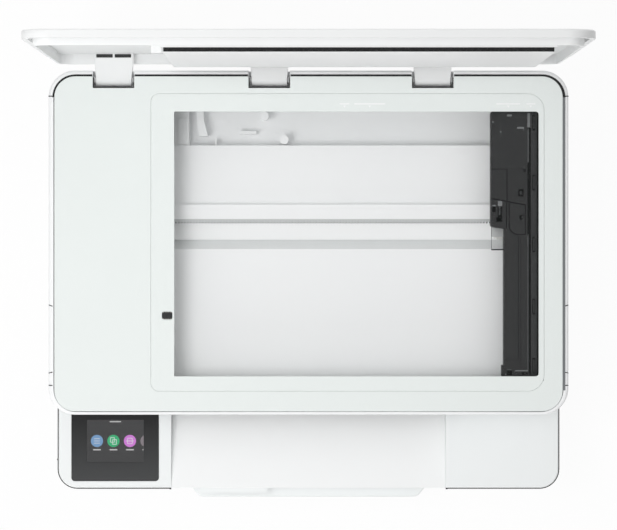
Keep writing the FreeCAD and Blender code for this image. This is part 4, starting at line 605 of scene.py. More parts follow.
# %% [markdown]
# ## Touch screen
# The screen is a black printed border round a clear window, over a small lit panel. CAD has it
# as one plate. Here the border, the smoked window and the panel are separate thin layers, so
# that the panel's light comes up through the acrylic as it does on the real one.

# %% Touch screen
MODULE_RIM = 6
LENS_CORNER, VIEW_CORNER = 2.6, 0.8
WINDOW_LOW, WINDOW_TOP = 0.6, 0.05
LAYER = 0.15
DOT_PITCH, DOT_DIM = 0.5, 0.9
SMEAR = 18
ACRYLIC = {"IOR": 1.49, "Specular IOR Level": 0.25}


def lit(name, colour, level):
    """A lit area of a liquid crystal panel: coloured light with a faint, coarsened dot raster."""
    material, tree, shader, at = finish(
        name, {"Base Color": linear("#101112"), "Roughness": 0.35, "Emission Strength": level})
    dots = put(tree, "ShaderNodeTexVoronoi", {"Scale": 1 / (DOT_PITCH * MM), "Randomness": 0.0},
               {"Vector": at})
    dimmed = tuple(DOT_DIM * c for c in linear(colour))
    tone = put(tree, "ShaderNodeMix", {"data_type": "RGBA", 6: linear(colour), 7: dimmed},
               {0: (dots, "Distance")})
    join(tree, shader, {"Emission Color": (tone, 2)})
    return material


lens_low, lens_high = corners("screen_lens")
module_low, module_high = corners("display_module")
view = inset((module_low.x, module_high.x, module_low.y, module_high.y), MODULE_RIM)
view_x = (view[0] + view[1]) / 2
view_y = (view[2] + view[3]) / 2
view_outline = rounded(*view, VIEW_CORNER)

# The border is deep black at the back and a little greyer towards the hand.
printed_acrylic, tree, shader, at = finish(
    "black_printed_acrylic_border", {"Roughness": 0.12, **ACRYLIC})
depth = put(tree, "ShaderNodeSeparateXYZ", {}, {0: at})
fade = put(tree, "ShaderNodeMapRange",
           {"From Min": lens_high.y * MM, "From Max": lens_low.y * MM}, {"Value": (depth, "Y")})
tone = put(tree, "ShaderNodeMix",
           {"data_type": "RGBA", 6: linear("#0C0D0E"), 7: linear("#434445")}, {0: (fade, 0)})
join(tree, shader, {"Base Color": (tone, 2)})
border = bmesh.new()
ring(border, rounded(lens_low.x, lens_high.x, lens_low.y, lens_high.y, LENS_CORNER), view_outline,
     lens_low.z, lens_high.z)
border_piece = piece("screen_border", border, printed_acrylic, "base", edge=0.2)
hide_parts("screen_lens")

# The window is smoked, so that the page's dark parts sink into the black of the border.
smoked_acrylic = hazed("smoked_acrylic_window", SMEAR, 4.0, (0.05, 0.12),
                       {"Base Color": linear("#1B1C1D"), "Alpha": 0.2, **ACRYLIC})
window = bmesh.new()
plate(window, view_outline, lens_high.z - WINDOW_LOW, lens_high.z - WINDOW_TOP)
piece("screen_window", window, smoked_acrylic, "base")

panel = bmesh.new()
panel_top = lens_low.z + LAYER
plate(panel, view_outline, lens_low.z + 0.01, panel_top)
piece("screen_panel", panel, lit("lcd_dark_page", "#4D4D4E", 1.0), "base")

# %% [markdown]
# ## The page on the screen
# The page is a row of round buttons with plain signs, and a plain bar under each. A picture could
# carry it, but thin raised shapes that glow stay sharp at any distance and need no image file. The
# last button is cut off by the window's edge, as on a page that can be swiped on.

# %% The page on the screen
BUTTON_PITCH, BUTTON_START, BUTTON_RADIUS = 14.1, 8.6, 5.2
BUTTON_TONES = {"blue": "#86B0DC", "green": "#43C586", "violet": "#E78DEE", "grey": "#958C92"}
LABEL_HALF, LABEL_LOW, LABEL_HIGH = 3.3, 8.0, 7.0
DISC_MARGIN, LABEL_MARGIN = 0.3, 0.4
TITLE_HALF, TITLE_DROP = 4.8, 1.65
SIGN = 0.05
SHEET_LINE = 0.45

button_top = panel_top + LAYER
sign_top = button_top + SIGN
button_middles = [view[0] + BUTTON_START + i * BUTTON_PITCH for i in range(len(BUTTON_TONES))]
label = bmesh.new()
glyph = bmesh.new()
for x, (tone_name, colour) in zip(button_middles, BUTTON_TONES.items()):
    disc = [(min(u, view[1] - DISC_MARGIN), v) for u, v in round_spot(x, view_y, BUTTON_RADIUS, 48)]
    button = bmesh.new()
    plate(button, list(dict.fromkeys(disc)), panel_top, button_top)
    shine = lit(f"lcd_{tone_name}", colour, 1.15)
    piece(f"screen_button_{tone_name}", button, shine, "base")
    right = min(x + LABEL_HALF, view[1] - LABEL_MARGIN)
    plate(label, rounded(x - LABEL_HALF, right, view_y - LABEL_LOW, view_y - LABEL_HIGH, 0.3, 2),
          panel_top, button_top)
menu_x, copy_x, scan_x = button_middles[:3]
for lift in (-1.9, 0.0, 1.9):
    tab(glyph, menu_x, view_y + lift, 2.5, 0.22, 0.2, button_top, sign_top)
for u, v, half_u, half_v in ((copy_x - 0.9, view_y + 0.9, 1.9, 2.2),
                             (copy_x + 0.9, view_y - 0.9, 1.9, 2.2), (scan_x, view_y, 2.2, 2.6)):
    outer = (u - half_u, u + half_u, v - half_v, v + half_v)
    ring(glyph, rounded(*outer, 0.5, 2), rounded(*inset(outer, SHEET_LINE), 0.3, 2),
         button_top, sign_top)
tab(glyph, scan_x, view_y, 3.2, 0.28, 0.1, sign_top, sign_top + SIGN)
tab(label, view_x, view[3] - TITLE_DROP, TITLE_HALF, 0.45, 0.3, panel_top, button_top)
piece("screen_labels", label, lit("lcd_label_white", "#E6E6E6", 1.1), "base")
piece("screen_glyphs", glyph, lit("lcd_glyph_white", "#F4F6F8", 1.15), "base")

# %% [markdown]
# ## Covers on the scan head
# The scan head shows its cover plates through the glass: a motor cover, a gear bay with a spring,
# a long lamp cover and the clips of the sensor strip. The plates are nearly flush, so what the
# eye sees is their joints and wells. These are drawn as dark inlays on the charcoal housing, each
# a line of one width: the joints are dark, and the wells are painted shade. The few lighter bits
# are lighter inlays of the same kind.

# %% Covers on the scan head
head_low, head_high = corners("scan_head")
INLAY = 0.12
RAISED = INLAY + 0.06
JOINT, HAIRLINE = 0.7, 0.3
BAY_LEFT, BAY_BACK, BAY_SLOPE = 1.2, 73.2, 0.19
CLIP_BACKS = (9.8, 59.8, 111.4, 163.3, 212.6)
CLIP_LENGTH = 12.8
# The round end of the motor cover: across, back and radius.
COVER_ROUND = (23.0, 95.4, 7.8)


def on_head(across0, across1, back0, back1):
    """A rectangle on the head, measured from its rear left corner."""
    return (head_low.x + across0, head_low.x + across1, head_high.y - back1, head_high.y - back0)


def bay(across):
    """How far back the slanting joint over the gear bay lies."""
    return BAY_BACK + BAY_SLOPE * (across - BAY_LEFT)


def stroke(mesh, spots, width, top=INLAY):
    """A raised line through spots on the head."""
    spots = [Vector((head_low.x + across, head_high.y - back)) for across, back in spots]
    pairs = []
    for i, spot in enumerate(spots):
        before, after = spots[max(i - 1, 0)], spots[min(i + 1, len(spots) - 1)]
        along = (after - before).normalized()
        side = Vector((-along.y, along.x)) * width / 2
        pairs.append((tuple(spot - side), tuple(spot + side)))
    band(mesh, pairs, head_high.z - SINK, head_high.z + top)


def patches(mesh, areas):
    """Raised rectangles on the head."""
    for area in areas:
        mark(mesh, rounded(*on_head(*area), 0.15, 2), head_high.z, INLAY)


def frame_on_head(mesh, outer, inner, outer_radius, inner_radius, steps):
    """A raised rim on the head, between two rectangles."""
    ring(mesh, rounded(*outer, outer_radius, steps), rounded(*inner, inner_radius, steps),
         head_high.z - SINK, head_high.z + INLAY)


def spots_on_head(mesh, spots, top=INLAY):
    """Raised round spots on the head: across, back and radius."""
    for across, back, radius in spots:
        turned(mesh, [(0, 0), (radius, 0), (radius * 0.9, top + SINK), (0, top + SINK)],
               head_low.x + across, head_high.y - back, head_high.z - SINK, steps=16)


# Dark joints, and painted shade in the head's wells.
dark = bmesh.new()
stroke(dark, [(0.4, 48.5), (13.4, 48.5), (13.4, bay(13.4))], JOINT)
stroke(dark, [(0.5, bay(0.5)), (28.9, bay(28.9))], JOINT + 0.2)
stroke(dark, [(13.0, bay(13.0)), (13.0, 98.0)], JOINT)
across, back, radius = COVER_ROUND
swing = [math.radians(180 - 90 * i / 8) for i in range(9)]
stroke(dark, [(15.2, bay(15.2))]
       + [(across + radius * math.cos(a), back + radius * math.sin(a)) for a in swing]
       + [(28.4, 103.2), (28.7, 102.8), (28.7, bay(28.7))], JOINT)
stroke(dark, [(23.0, 104.2), (23.0, 206.4), (22.4, 207.4), (21.4, 207.6), (11.6, 207.6)], 0.4)
stroke(dark, [(24.9, 104.2), (24.9, 214.8)], HAIRLINE)
stroke(dark, [(22.6, 47.8), (28.0, 48.8)], HAIRLINE)
patches(dark, ((31.8, 33.3, 13.7, 220.6), (30.5, 31.8, 43.0, 103.0), (38.4, 39.4, 1.4, 220.8),
               (27.2, 29.0, 48.6, 51.0), (5.6, 9.4, 79.6, 92.4), (4.4, 8.0, 88.8, 92.6),
               (1.2, 4.0, 79.8, 84.4), (13.4, 17.6, 216.6, 220.4), (26.0, 28.0, 218.2, 220.2),
               (28.8, 30.6, 218.6, 220.2)))
frame_on_head(dark, on_head(22.8, 27.3, 65.2, 71.4), on_head(24.0, 26.1, 66.8, 69.8), 0.4, 0.3, 3)
for back in CLIP_BACKS:
    outer = on_head(34.6, 36.9, back - CLIP_LENGTH / 2, back + CLIP_LENGTH / 2)
    inner = (outer[0] + 0.5, outer[1] - 0.35, outer[2] + 1.1, outer[3] - 1.1)
    frame_on_head(dark, outer, inner, 0.3, 0.2, 2)
spots_on_head(dark, [(25.4, 88.6, 1.9), (25.0, 90.4, 0.8), (27.0, 87.2, 0.8)])
piece("head_joints_and_well_shade", dark, joint_and_shade_black, "scan_head")

# %% [markdown]
# ## Lighter bits of the scan head
# A bright clip, the lamp strip's edge, a spring, lighter edges and the pale cap over the drive
# pinion's bearing are lighter than the housing. They are inlays too, in three lighter plastics.

# %% Lighter bits of the scan head
BEARING_TOP = 129.9
CAP_RISE, CAP_SLANT = 0.7, 1.6
SPRING_LEFT, SPRING_BACK, SPRING_WIDTH, SPRING_PITCH, SPRING_TURNS = 6.6, 79.9, 1.4, 0.85, 9

slate = bmesh.new()
stroke(slate, [(30.8, 104.5), (30.8, 113.6)], 0.8)
stroke(slate, [(30.8, 115.0), (30.8, 216.6)], 0.6)
stroke(slate, [(8.2, 8.4), (8.2, 22.0), (7.0, 23.4)], HAIRLINE)
patches(slate, ((30.5, 31.7, 15.8, 42.6), (26.7, 27.6, 14.8, 17.0), (13.4, 17.2, 215.4, 216.2)))
spots_on_head(slate, [(1.8, 23.0, 0.6), (26.2, 88.6, 0.7)], RAISED)
# A greyer, a little glossier charcoal for the lighter edges and spots.
slate_abs = moulded("lighter_charcoal_abs", "#4C4D4E", "#444546", 0.8, 0.05, 0.5, shine=0.35)
piece("head_lighter_lines", slate, slate_abs, "scan_head")

light = bmesh.new()
patches(light, ((13.4, 17.5, 2.9, 4.5), (22.0, 27.6, 13.3, 14.8), (5.9, 9.4, 75.2, 79.4),
                (1.2, 4.0, 78.4, 79.5), (30.5, 32.6, 1.9, 13.6), (20.2, 31.0, 216.4, 217.2)))
spots_on_head(light, [(1.8, 9.2, 0.75), (8.2, 17.4, 0.65), (12.4, 219.7, 0.5)])
spring = [(SPRING_LEFT + SPRING_WIDTH * (i % 2), SPRING_BACK + SPRING_PITCH * i)
          for i in range(SPRING_TURNS)]
stroke(light, spring, 0.35, RAISED)
# Nylon clips are dull and mid-grey, as they come from the mould.
clip_nylon = moulded("mid_grey_nylon_clip", "#77797A", "#707273", 0.9, 0.05, 0.5, shine=0.4)
piece("head_clips_and_spring", light, clip_nylon, "scan_head")

cap = bmesh.new()
x0, x1, y0, y1 = on_head(1.3, 11.0, 96.8, 105.0)
plate(cap, [(x0, y0), (x1, y0), (x1, y1 - CAP_SLANT), (x0, y1)],
      BEARING_TOP - 0.05, BEARING_TOP + CAP_RISE, 0.2)
# The cap is acetal that has lost its shine.
cap_acetal = moulded("worn_acetal_cap", "#C6C8C8", "#BABCBC", 1.4, 0.03, 0.5, ior=1.48)
piece("pinion_bearing_cap", cap, cap_acetal, "scan_head")

# %% [markdown]
# ## Painted shade in the scanner's seams
# From above, most of what draws the printer is its seams, and the shade in them is painted: a black
# strip under the rear joint of the scanner panel, a grey one under its right side, and black liners
# in the hinge notches. Each is a narrow band swept along straights and quarter turns. Black plates
# in the hinge legs' slots are painted shadow too.

# %% Painted shade in the scanner's seams
LEGS = ("hinge_leg_left", "hinge_leg_middle", "hinge_leg_right")
COVER_CORNER = 17.5
SHADE_IN, SHADE_OUT, SIDE_SHADE = 0.1, 1.55, 2.2
CORNER_SWELL = 0.7
NOTCH_HALF, NOTCH_END, NOTCH_LENGTH = 17.4, 17.8, 9
NOTCH_CLEAR = 2.1
LINER_SIDE, LINER_FRONT = 0.8, 1.2
RIM_MARK, MARK_WIDTH, MARK_LENGTH = 151.0, 0.8, 4.4
# Dark ticks on the rim by their place on the side, with the lean of the outer end.
RIM_TICKS = {-24.0: 0.9, -79.0: -0.9, -90.1: 0.0}
RIM_TICK_WIDE, RIM_TICK_NARROW, RIM_TICK_LENGTH = 0.9, 0.6, 3.4
LEG_SLOTS = ((-14.4, -1.0), (1.0, 14.4))


def quarter(u, v, inner, outer, start, swell=0.0, steps=10):
    """Pairs of points on two arcs about one centre, for the quarter turn after start."""
    pairs = []
    for i in range(steps + 1):
        t = math.radians(start + 90 * i / steps)
        reach = outer + swell * (1 - i / steps)
        pairs.append(((u + inner * math.cos(t), v + inner * math.sin(t)),
                      (u + reach * math.cos(t), v + reach * math.sin(t))))
    return pairs


def mirrored(pairs):
    """The same pairs on the other side of the printer."""
    return [((-a, b), (-c, d)) for (a, b), (c, d) in pairs]


cover_low, cover_high = corners("scanner_cover")
rim_high = corners("scanner_pan")[1]
leg_low, leg_high = corners(LEGS[0])
leg_middles = [sum(side.x for side in corners(leg)) / 2 for leg in LEGS]
turn_x, turn_y = cover_high.x - COVER_CORNER, cover_high.y - COVER_CORNER
seam_shade_z = (rim_high.z - 0.6, rim_high.z + 0.5)


def seam_shade_end(x):
    """A pair of points across the rear seam's painted shade."""
    return (x, cover_high.y - SHADE_IN), (x, cover_high.y + SHADE_OUT)


# Painted shade under the rear seam, with dark ticks on the rim.
rear_shade = bmesh.new()
arcs = (turn_x, turn_y, COVER_CORNER - SHADE_IN, COVER_CORNER + SHADE_OUT, 0)
band(rear_shade, mirrored(quarter(*arcs)) + [seam_shade_end(leg_middles[0] - NOTCH_END)], *seam_shade_z)
band(rear_shade, quarter(*arcs, CORNER_SWELL) + [seam_shade_end(leg_middles[2] + NOTCH_END)], *seam_shade_z)
for here, there in zip(leg_middles, leg_middles[1:]):
    band(rear_shade, [seam_shade_end(here + NOTCH_END), seam_shade_end(there - NOTCH_END)], *seam_shade_z)
for sign in (-1, 1):
    edge_x = sign * rim_high.x
    inner_x = edge_x - sign * MARK_LENGTH
    plate(rear_shade, [(edge_x, RIM_MARK), (edge_x, RIM_MARK - MARK_WIDTH),
                 (inner_x, RIM_MARK - MARK_WIDTH), (inner_x, RIM_MARK)],
          rim_high.z - 0.3, rim_high.z + 0.12)
    outer_x, inner_x = edge_x - sign * 0.1, edge_x - sign * RIM_TICK_LENGTH
    for y, lean in RIM_TICKS.items():
        plate(rear_shade, [(outer_x, y + lean), (outer_x, y + lean - RIM_TICK_NARROW),
                     (inner_x, y - RIM_TICK_WIDE), (inner_x, y)], rim_high.z - 0.3, rim_high.z + 0.1)
# Painted shade for the seams: black, with a dull sheen along its length.
black_seam_shade = moulded("black_painted_seam_shade", "#121213", "#18181A", 0.7, 0.04, 0.7, ior=1.52)
piece("rear_seam_shade_and_rim_ticks", rear_shade, black_seam_shade, "scanner")

# Painted shade under the right side's seam, in grey.
side_shade = bmesh.new()
ends = (cover_low.y + COVER_CORNER, turn_y)
band(side_shade, [((cover_high.x - 0.05, y), (cover_high.x + SIDE_SHADE, y)) for y in ends],
     rim_high.z - 0.6, rim_high.z + 0.15)
# The right side's seam shade is painted grey, so the joint draws a softer line.
grey_seam_shade = moulded("grey_painted_seam_shade", "#7A7D7F", "#727577", 0.8, 0.04, 0.6, ior=1.52)
piece("side_seam_painted_shade", side_shade, grey_seam_shade, "scanner")

notch_front = leg_low.y - NOTCH_CLEAR
notch_back = notch_front + NOTCH_LENGTH


def notch(x, half, front):
    """The outline of a hinge notch, from its back round its front."""
    return [(x - half, notch_back), (x - half, front), (x + half, front), (x + half, notch_back)]


# Black liners: painted shade in the gaps round the hinge legs.
notch_shade = bmesh.new()
for x in leg_middles:
    outer = notch(x, NOTCH_HALF, notch_front)
    inner = notch(x, NOTCH_HALF - LINER_SIDE, notch_front + LINER_FRONT)
    band(notch_shade, list(zip(inner, outer)), leg_high.z - 2.2, leg_high.z + 0.6)
piece("notch_painted_shade", notch_shade, black_seam_shade, "scanner")

# Black plates in the legs' slots: painted shadow.
slot_shade = bmesh.new()
for leg, x in zip(LEGS, leg_middles):
    top = corners(leg)[1]
    for x0, x1 in LEG_SLOTS:
        plate(slot_shade, rounded(x + x0, x + x1, top.y - 3.2, top.y - 0.6, 0.3, 2),
              top.z - 2.9, top.z - 0.6)
piece("leg_slot_shadows", slot_shade, black_abs, "lid")

# %% [markdown]
# ## Joints of the decks and the ramp
# A dark line of painted shade runs round the two front decks, where they sit in the base, with
# short ticks of it. The ramp's side joints are closed up to the sheet's path, so that they fade
# out towards the front. The line is one swept band, used twice by mirroring it.

# %% Joints of the decks and the ramp
DECK_CORNER = 16.0
LINE_IN, LINE_OUT, LINE_START = 0.4, 0.95, 2
DECK_TICK, TICK_OUT, TICK_LENGTH = -156.9, 1.5, 1.6
RAMP_SKIN = 2.5
JOINT_DEPTH, JOINT_TOP, JOINT_FRONT, JOINT_BACK = 8, 0.15, 0.2, 5

deck_low, deck_high = corners("deck_left")
# Painted shade: a dark line round the decks, with short ticks.
deck_shade_line = bmesh.new()
start_y = deck_high.y - LINE_START
run = [((deck_low.x + LINE_IN, start_y), (deck_low.x - LINE_OUT, start_y))]
run += quarter(deck_low.x + DECK_CORNER, deck_low.y + DECK_CORNER, DECK_CORNER - LINE_IN,
               DECK_CORNER + LINE_OUT, 180)
run += [((deck_high.x, deck_low.y + LINE_IN), (deck_high.x, deck_low.y - LINE_OUT))]
for pairs in (run, mirrored(run)):
    band(deck_shade_line, pairs, deck_high.z - 3.3, deck_high.z - 2.4)
tick_z = (deck_high.z - 3.2, deck_high.z - 2.5)
y0, y1 = deck_low.y - 0.2, deck_low.y - TICK_OUT + 0.1
for side in (-1, 1):
    x0, x1 = side * deck_high.x, side * (deck_high.x - TICK_LENGTH)
    plate(deck_shade_line, [(x0, y0), (x0, y1), (x1, y1), (x1, y0)], *tick_z)
tick = (deck_low.x - TICK_OUT, deck_low.x + 0.2, DECK_TICK - 0.5, DECK_TICK + 0.5)
plate(deck_shade_line, rounded(*tick, 0.2, 2), *tick_z)
piece("deck_painted_shade_line", deck_shade_line, black_seam_shade, "base")

ramp_low, ramp_high = corners("output_ramp")
fall = (ramp_high.z - ramp_low.z - RAMP_SKIN) / (ramp_high.y - ramp_low.y)
y0, y1 = ramp_low.y + JOINT_FRONT, ramp_high.y - JOINT_BACK
side_joint = [(y0, ramp_high.z - JOINT_DEPTH), (y0, ramp_high.z - JOINT_TOP),
              (y1, ramp_high.z - fall * (y1 - ramp_low.y)), (y1, ramp_low.z)]
joint = bmesh.new()
for x0, x1 in ((deck_high.x, ramp_low.x), (ramp_high.x, -deck_high.x)):
    plate(joint, side_joint, x0, x1, axis="x")
piece("ramp_side_joints", joint, white_abs, "base")

# %% [markdown]
# ## Lid pad
# The pad that presses the page is a slab of foam with a white film. Foam is cut, not moulded, so
# its edge wanders by a tenth or two of a millimetre. A perimeter with many points and two slow
# waves gives that, and the film on the face stays straight.

# %% Lid pad
foam_low, foam_high = corners("pad_foam")
CUT_STEP = 3.0
CUT_INSET, CUT_SOFT = 0.2, 0.25
# Each wave of the cut: its height, its pace in radians per mm and its start.
CUT_WAVES = ((0.1, 0.21, 0), (0.07, 0.57, 1))
pad = bmesh.new()
outline = []
bounds = [(foam_low.x, foam_low.z), (foam_high.x, foam_low.z),
          (foam_high.x, foam_high.z), (foam_low.x, foam_high.z)]
for (u0, v0), (u1, v1) in zip(bounds, bounds[1:] + bounds[:1]):
    length = math.hypot(u1 - u0, v1 - v0)
    count = round(length / CUT_STEP)
    for i in range(count):
        along = i / count
        wave = sum(size * math.sin(pace * along * length + start)
                   for size, pace, start in CUT_WAVES)
        cut = CUT_INSET + wave * math.sin(math.pi * along)
        u, v = u0 + (u1 - u0) * along, v0 + (v1 - v0) * along
        outline.append((u + cut * (v0 - v1) / length, v + cut * (u1 - u0) / length))
plate(pad, outline, foam_low.y, foam_high.y, CUT_SOFT, axis="y")
pad_piece = piece("lid_pad_foam", pad, foam, "lid")
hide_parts("pad_foam")

# %% [markdown]
# ## Marks and corners of the scan window
# The glass bezel carries short raised marks for the paper's edges: bars, and an arrow under each.
# The window's corners at the head's end are rounded, which small fillets between the bezel's edges
# give without cutting the CAD part.

# %% Marks and corners of the scan window
bezel_low, bezel_high = corners("glass_bezel")
glass_low, glass_high = corners("scan_glass")
MARK_ROW = glass_high.y + 2.4
MARK_BARS = ((26.0, 34.0), (38.0, 64.0), (156.5, 176.5), (181.5, 189.0))
MARK_ARROWS = (30.0, 51.0, 166.5, 185.2)
ARROW_HALF, ARROW_BASE, ARROW_TIP = 1.1, 1.4, 3.2
WINDOW_LAP, WINDOW_CORNER = 4.0, 2.6

marks = bmesh.new()
mark_z = (bezel_high.z - 0.05, bezel_high.z + 0.07)
for x0, x1 in MARK_BARS:
    plate(marks, rounded(x0, x1, MARK_ROW - 0.5, MARK_ROW + 0.5, 0.4, 3), *mark_z)
for x in MARK_ARROWS:
    plate(marks, [(x - ARROW_HALF, MARK_ROW - ARROW_BASE), (x + ARROW_HALF, MARK_ROW - ARROW_BASE),
                  (x, MARK_ROW - ARROW_TIP)], *mark_z)
piece("paper_edge_marks", marks, chute_abs, "scanner")

fillets = bmesh.new()
window_right = glass_high.x - WINDOW_LAP
turns = [math.pi / 2 * (1 - i / 8) for i in range(9)]
for window_edge, sign in ((glass_high.y - WINDOW_LAP, 1), (glass_low.y + WINDOW_LAP, -1)):
    arc = [(window_right - WINDOW_CORNER * (1 - math.cos(t)),
            window_edge - sign * WINDOW_CORNER * (1 - math.sin(t))) for t in turns]
    plate(fillets, [(window_right + 0.1, window_edge + 0.1 * sign)] + arc,
          bezel_low.z + 0.02, bezel_high.z - 0.02)
piece("window_corner_fillets", fillets, panel_abs, "scanner")

# %% [markdown]
# ## Liners in the tub
# Through the glass, the eye reads the tub by its bands of tone. A pale liner closes the channel in
# front of the rack, a web closes the tops of the rack's tooth gaps, a pale grey strip of painted
# shade lies on the slope, and a low pad sits on a block in the rear corner. All are thin and stay
# clear of the head's pinion.

# %% Liners in the tub
rack_low, rack_high = corners("scan_rack")
LINER_DROP, LINER_REACH, LINER_FOOT, LINER_WALL = 0.2, 13.8, 7.4, 0.8
LINER_ENDS = (rack_low.x + 0.6, rack_high.x - 0.6)
WEB, WEB_SINK, WEB_REACH = 0.6, 0.25, 1.8
CORNER_PAD, PAD_LEVEL = (-110.2, -102.6, 111.2, 133.6), 110.0
SLOPE_Y, SLOPE_Z, SLOPE_RUN = 23.1, 112.8, 7.7
STRIP_THICKNESS = 0.12

front, back, top = rack_low.y - LINER_REACH, rack_high.y - 0.1, rack_low.z - LINER_DROP
channel = bmesh.new()
plate(channel, [(front, top - LINER_FOOT), (front, top - 0.6), (front + 0.6, top), (back, top),
                (back, top - LINER_WALL), (front + 1.0, top - LINER_WALL),
                (front + LINER_WALL, top - LINER_FOOT)], *LINER_ENDS, axis="x")
piece("rack_channel_liner", channel, lit_tub_abs, "scanner")

web = bmesh.new()
area = (rack_low.x + 1, rack_high.x - 1, rack_low.y + 0.05, rack_low.y + WEB_REACH)
plate(web, rounded(*area, 0.3, 2), rack_high.z - WEB_SINK - WEB, rack_high.z - WEB_SINK)
piece("rack_web", web, lit_tub_abs, "scanner")

pad_block = bmesh.new()
plate(pad_block, rounded(*CORNER_PAD, 0.5, 2), PAD_LEVEL - SINK, PAD_LEVEL + 1.0, 0.2)
piece("tub_corner_pad", pad_block, lit_tub_abs, "scanner")

slope_strip = bmesh.new()
strip_end = (SLOPE_Y + SLOPE_RUN, SLOPE_Z - SLOPE_RUN)
plate(slope_strip, [(SLOPE_Y, SLOPE_Z), strip_end, (strip_end[0] + STRIP_THICKNESS, strip_end[1] + STRIP_THICKNESS),
             (SLOPE_Y + STRIP_THICKNESS, SLOPE_Z + STRIP_THICKNESS)], *LINER_ENDS, axis="x")
# Painted shade on the slope: a matt, pale grey stripe with no gloss.
slope_shade_grey = moulded("pale_grey_slope_painted_shade", "#ECEEEE", "#E7E9E9", 1.0, 0.06, 0.85)
piece("slope_painted_shade_strip", slope_strip, slope_shade_grey, "scanner")

# %% [markdown]
# ## Lid switch and home flag
# Beside the window sits the switch that notices the lid: two dark windows and a row of pins. Under
# the glass, a thin clear flag with dark edges on the scan head trips the home switch.

# %% Lid switch and home flag
sensor_low, sensor_high = corners("lid_sensor")
EYES = ((0.6, 3.5), (4.9, 7.8))
PIN_COUNT, PIN_START, PIN_PITCH = 4, 1.2, 2.0
FLAG = on_head(0.3, 10.9, 96.0, 116.2)
FLAG_DROP, FLAG_TOP = 0.9, 0.6

eyes = bmesh.new()
for x0, x1 in EYES:
    area = (sensor_low.x + x0, sensor_low.x + x1, sensor_low.y + 0.9, sensor_high.y - 0.9)
    mark(eyes, rounded(*area, 0.4, 2), sensor_high.z, 0.1)
piece("lid_switch_windows", eyes, black_acrylic, "scanner")
pins = bmesh.new()
for i in range(PIN_COUNT):
    for y in (sensor_low.y + 0.35, sensor_high.y - 0.35):
        tab(pins, sensor_low.x + PIN_START + PIN_PITCH * i, y, 0.35, 0.3, 0.1,
            sensor_high.z - SINK, sensor_high.z + 0.08)
piece("lid_switch_pins", pins, nickel_can, "scanner")

flag = bmesh.new()
for edge in ((FLAG[0], FLAG[0] + 0.35, FLAG[2], FLAG[3]),
             (FLAG[0] + 0.3, FLAG[1], FLAG[2], FLAG[2] + 0.95)):
    plate(flag, rounded(*edge, 0.1, 2), head_high.z - FLAG_DROP, head_high.z - FLAG_TOP)
piece("home_flag_rim", flag, joint_and_shade_black, "scan_head")
film = bmesh.new()
plate(film, rounded(FLAG[0] + 0.2, FLAG[1], FLAG[2] + 0.4, FLAG[3], 0.3, 3),
      head_high.z - FLAG_DROP + 0.05, head_high.z - FLAG_TOP - 0.05)
piece("home_flag_film", film, float_glass, "scan_head")

# %% [markdown]
# ## Vents
# The warm parts of a printer sit low and at the back, so that is where its vents are: rows of
# slots with a moulded lip. Each slot is a dark inlay with a raised rim: the inlay is painted shade,
# which reads as a hole, and leaves the CAD wall whole.

# %% Vents
REAR_WALL = corners("port_plates")[1].y
SIDE_WALL = corners("base_shell")[1].x
UNDERSIDE = corners("base_pan")[0].z
SLOT, LIP = 2.4, 0.6
# Each row of vents: its start, the number of slots, their pitch and how far each slot reaches,
# and then the wall, which way is out of it and its axis.
VENT_ROWS = [(start, 12, 5.2, (53.0, 74.0), REAR_WALL, 1, "y") for start in (-188.0, 130.0)]
VENT_ROWS += [(28.0, 5, 6.0, (52.0, 118.0), out * SIDE_WALL, out, "x") for out in (-1, 1)]
VENT_ROWS += [(-20.0, 9, 8.0, reach, UNDERSIDE, -1, "z") for reach in ((-150, -90), (90, 150))]


def vent(mesh, lips, area, wall, out, axis):
    """One slot in a wall: a painted-shade inlay and a raised lip. out is 1 or -1, away from the
    wall.
    """
    inner = rounded(*area, SLOT / 2 - 0.1)
    plate(mesh, inner, *sorted((wall - 0.3 * out, wall + 0.06 * out)), axis=axis)
    ring(lips, rounded(*inset(area, -LIP), SLOT / 2), inner,
         *sorted((wall - 0.2 * out, wall + 0.4 * out)), axis=axis)


slots, lips = bmesh.new(), bmesh.new()
for start, count, pitch, reach, wall, out, axis in VENT_ROWS:
    for i in range(count):
        width = (start + pitch * i, start + pitch * i + SLOT)
        area = width + reach if axis == "y" else reach + width
        vent(slots, lips, area, wall, out, axis)
# The slot inlays are painted shade.
piece("vent_hole_painted_shade", slots, joint_and_shade_black, "base")
piece("vent_lips", lips, white_abs, "base")

# %% [markdown]
# ## Screws, plates and foot collars
# Screws sit where a driver can reach them, round the rear panel and under the base. The rating
# plates are plain films, and a moulded collar holds each rubber foot. Screws are turned from a
# profile, as on a lathe, and the rest are thin plates and rings.

# %% Screws, plates and foot collars
SCREW = 2.8
CROSS_LONG, CROSS_WIDE = 1.5, 0.3
PANEL = (-104.0, 94.0, 20.0, 80.0)
PANEL_GAP, PANEL_CORNER, PANEL_SCREW = 0.6, 5.0, 7
FLOOR_SCREWS = [(x, y) for x in (-198.0, -66.0, 66.0, 198.0) for y in (-120.0, 105.0)]
REAR_PLATE, FLOOR_PLATE, PLATE_CORNER = (-38.0, 38.0, 34.0, 66.0), (-45.0, 45.0, -100.0, -60.0), 2.5
FOOT_REACH, FOOT_RADIUS = 185.5, 9
COLLAR_OUTER, COLLAR_INNER, COLLAR_DROP = 12.0, 9.6, 1.2


def screw(mesh, cross, u, v, wall, out, axis):
    """A pan-head screw, with a black cross of painted shade where its recess is."""
    profile = [(0, -0.3), (SCREW, -0.3), (SCREW, 0.35), (SCREW - 0.7, 0.85), (0, 0.95)]
    turned(mesh, [(radius, height * out) for radius, height in profile], u, v, wall, axis)
    for half_u, half_v in ((CROSS_LONG, CROSS_WIDE), (CROSS_WIDE, CROSS_LONG)):
        tab(cross, u, v, half_u, half_v, 0.2,
            *sorted((wall + 0.8 * out, wall + 1.0 * out)), axis)


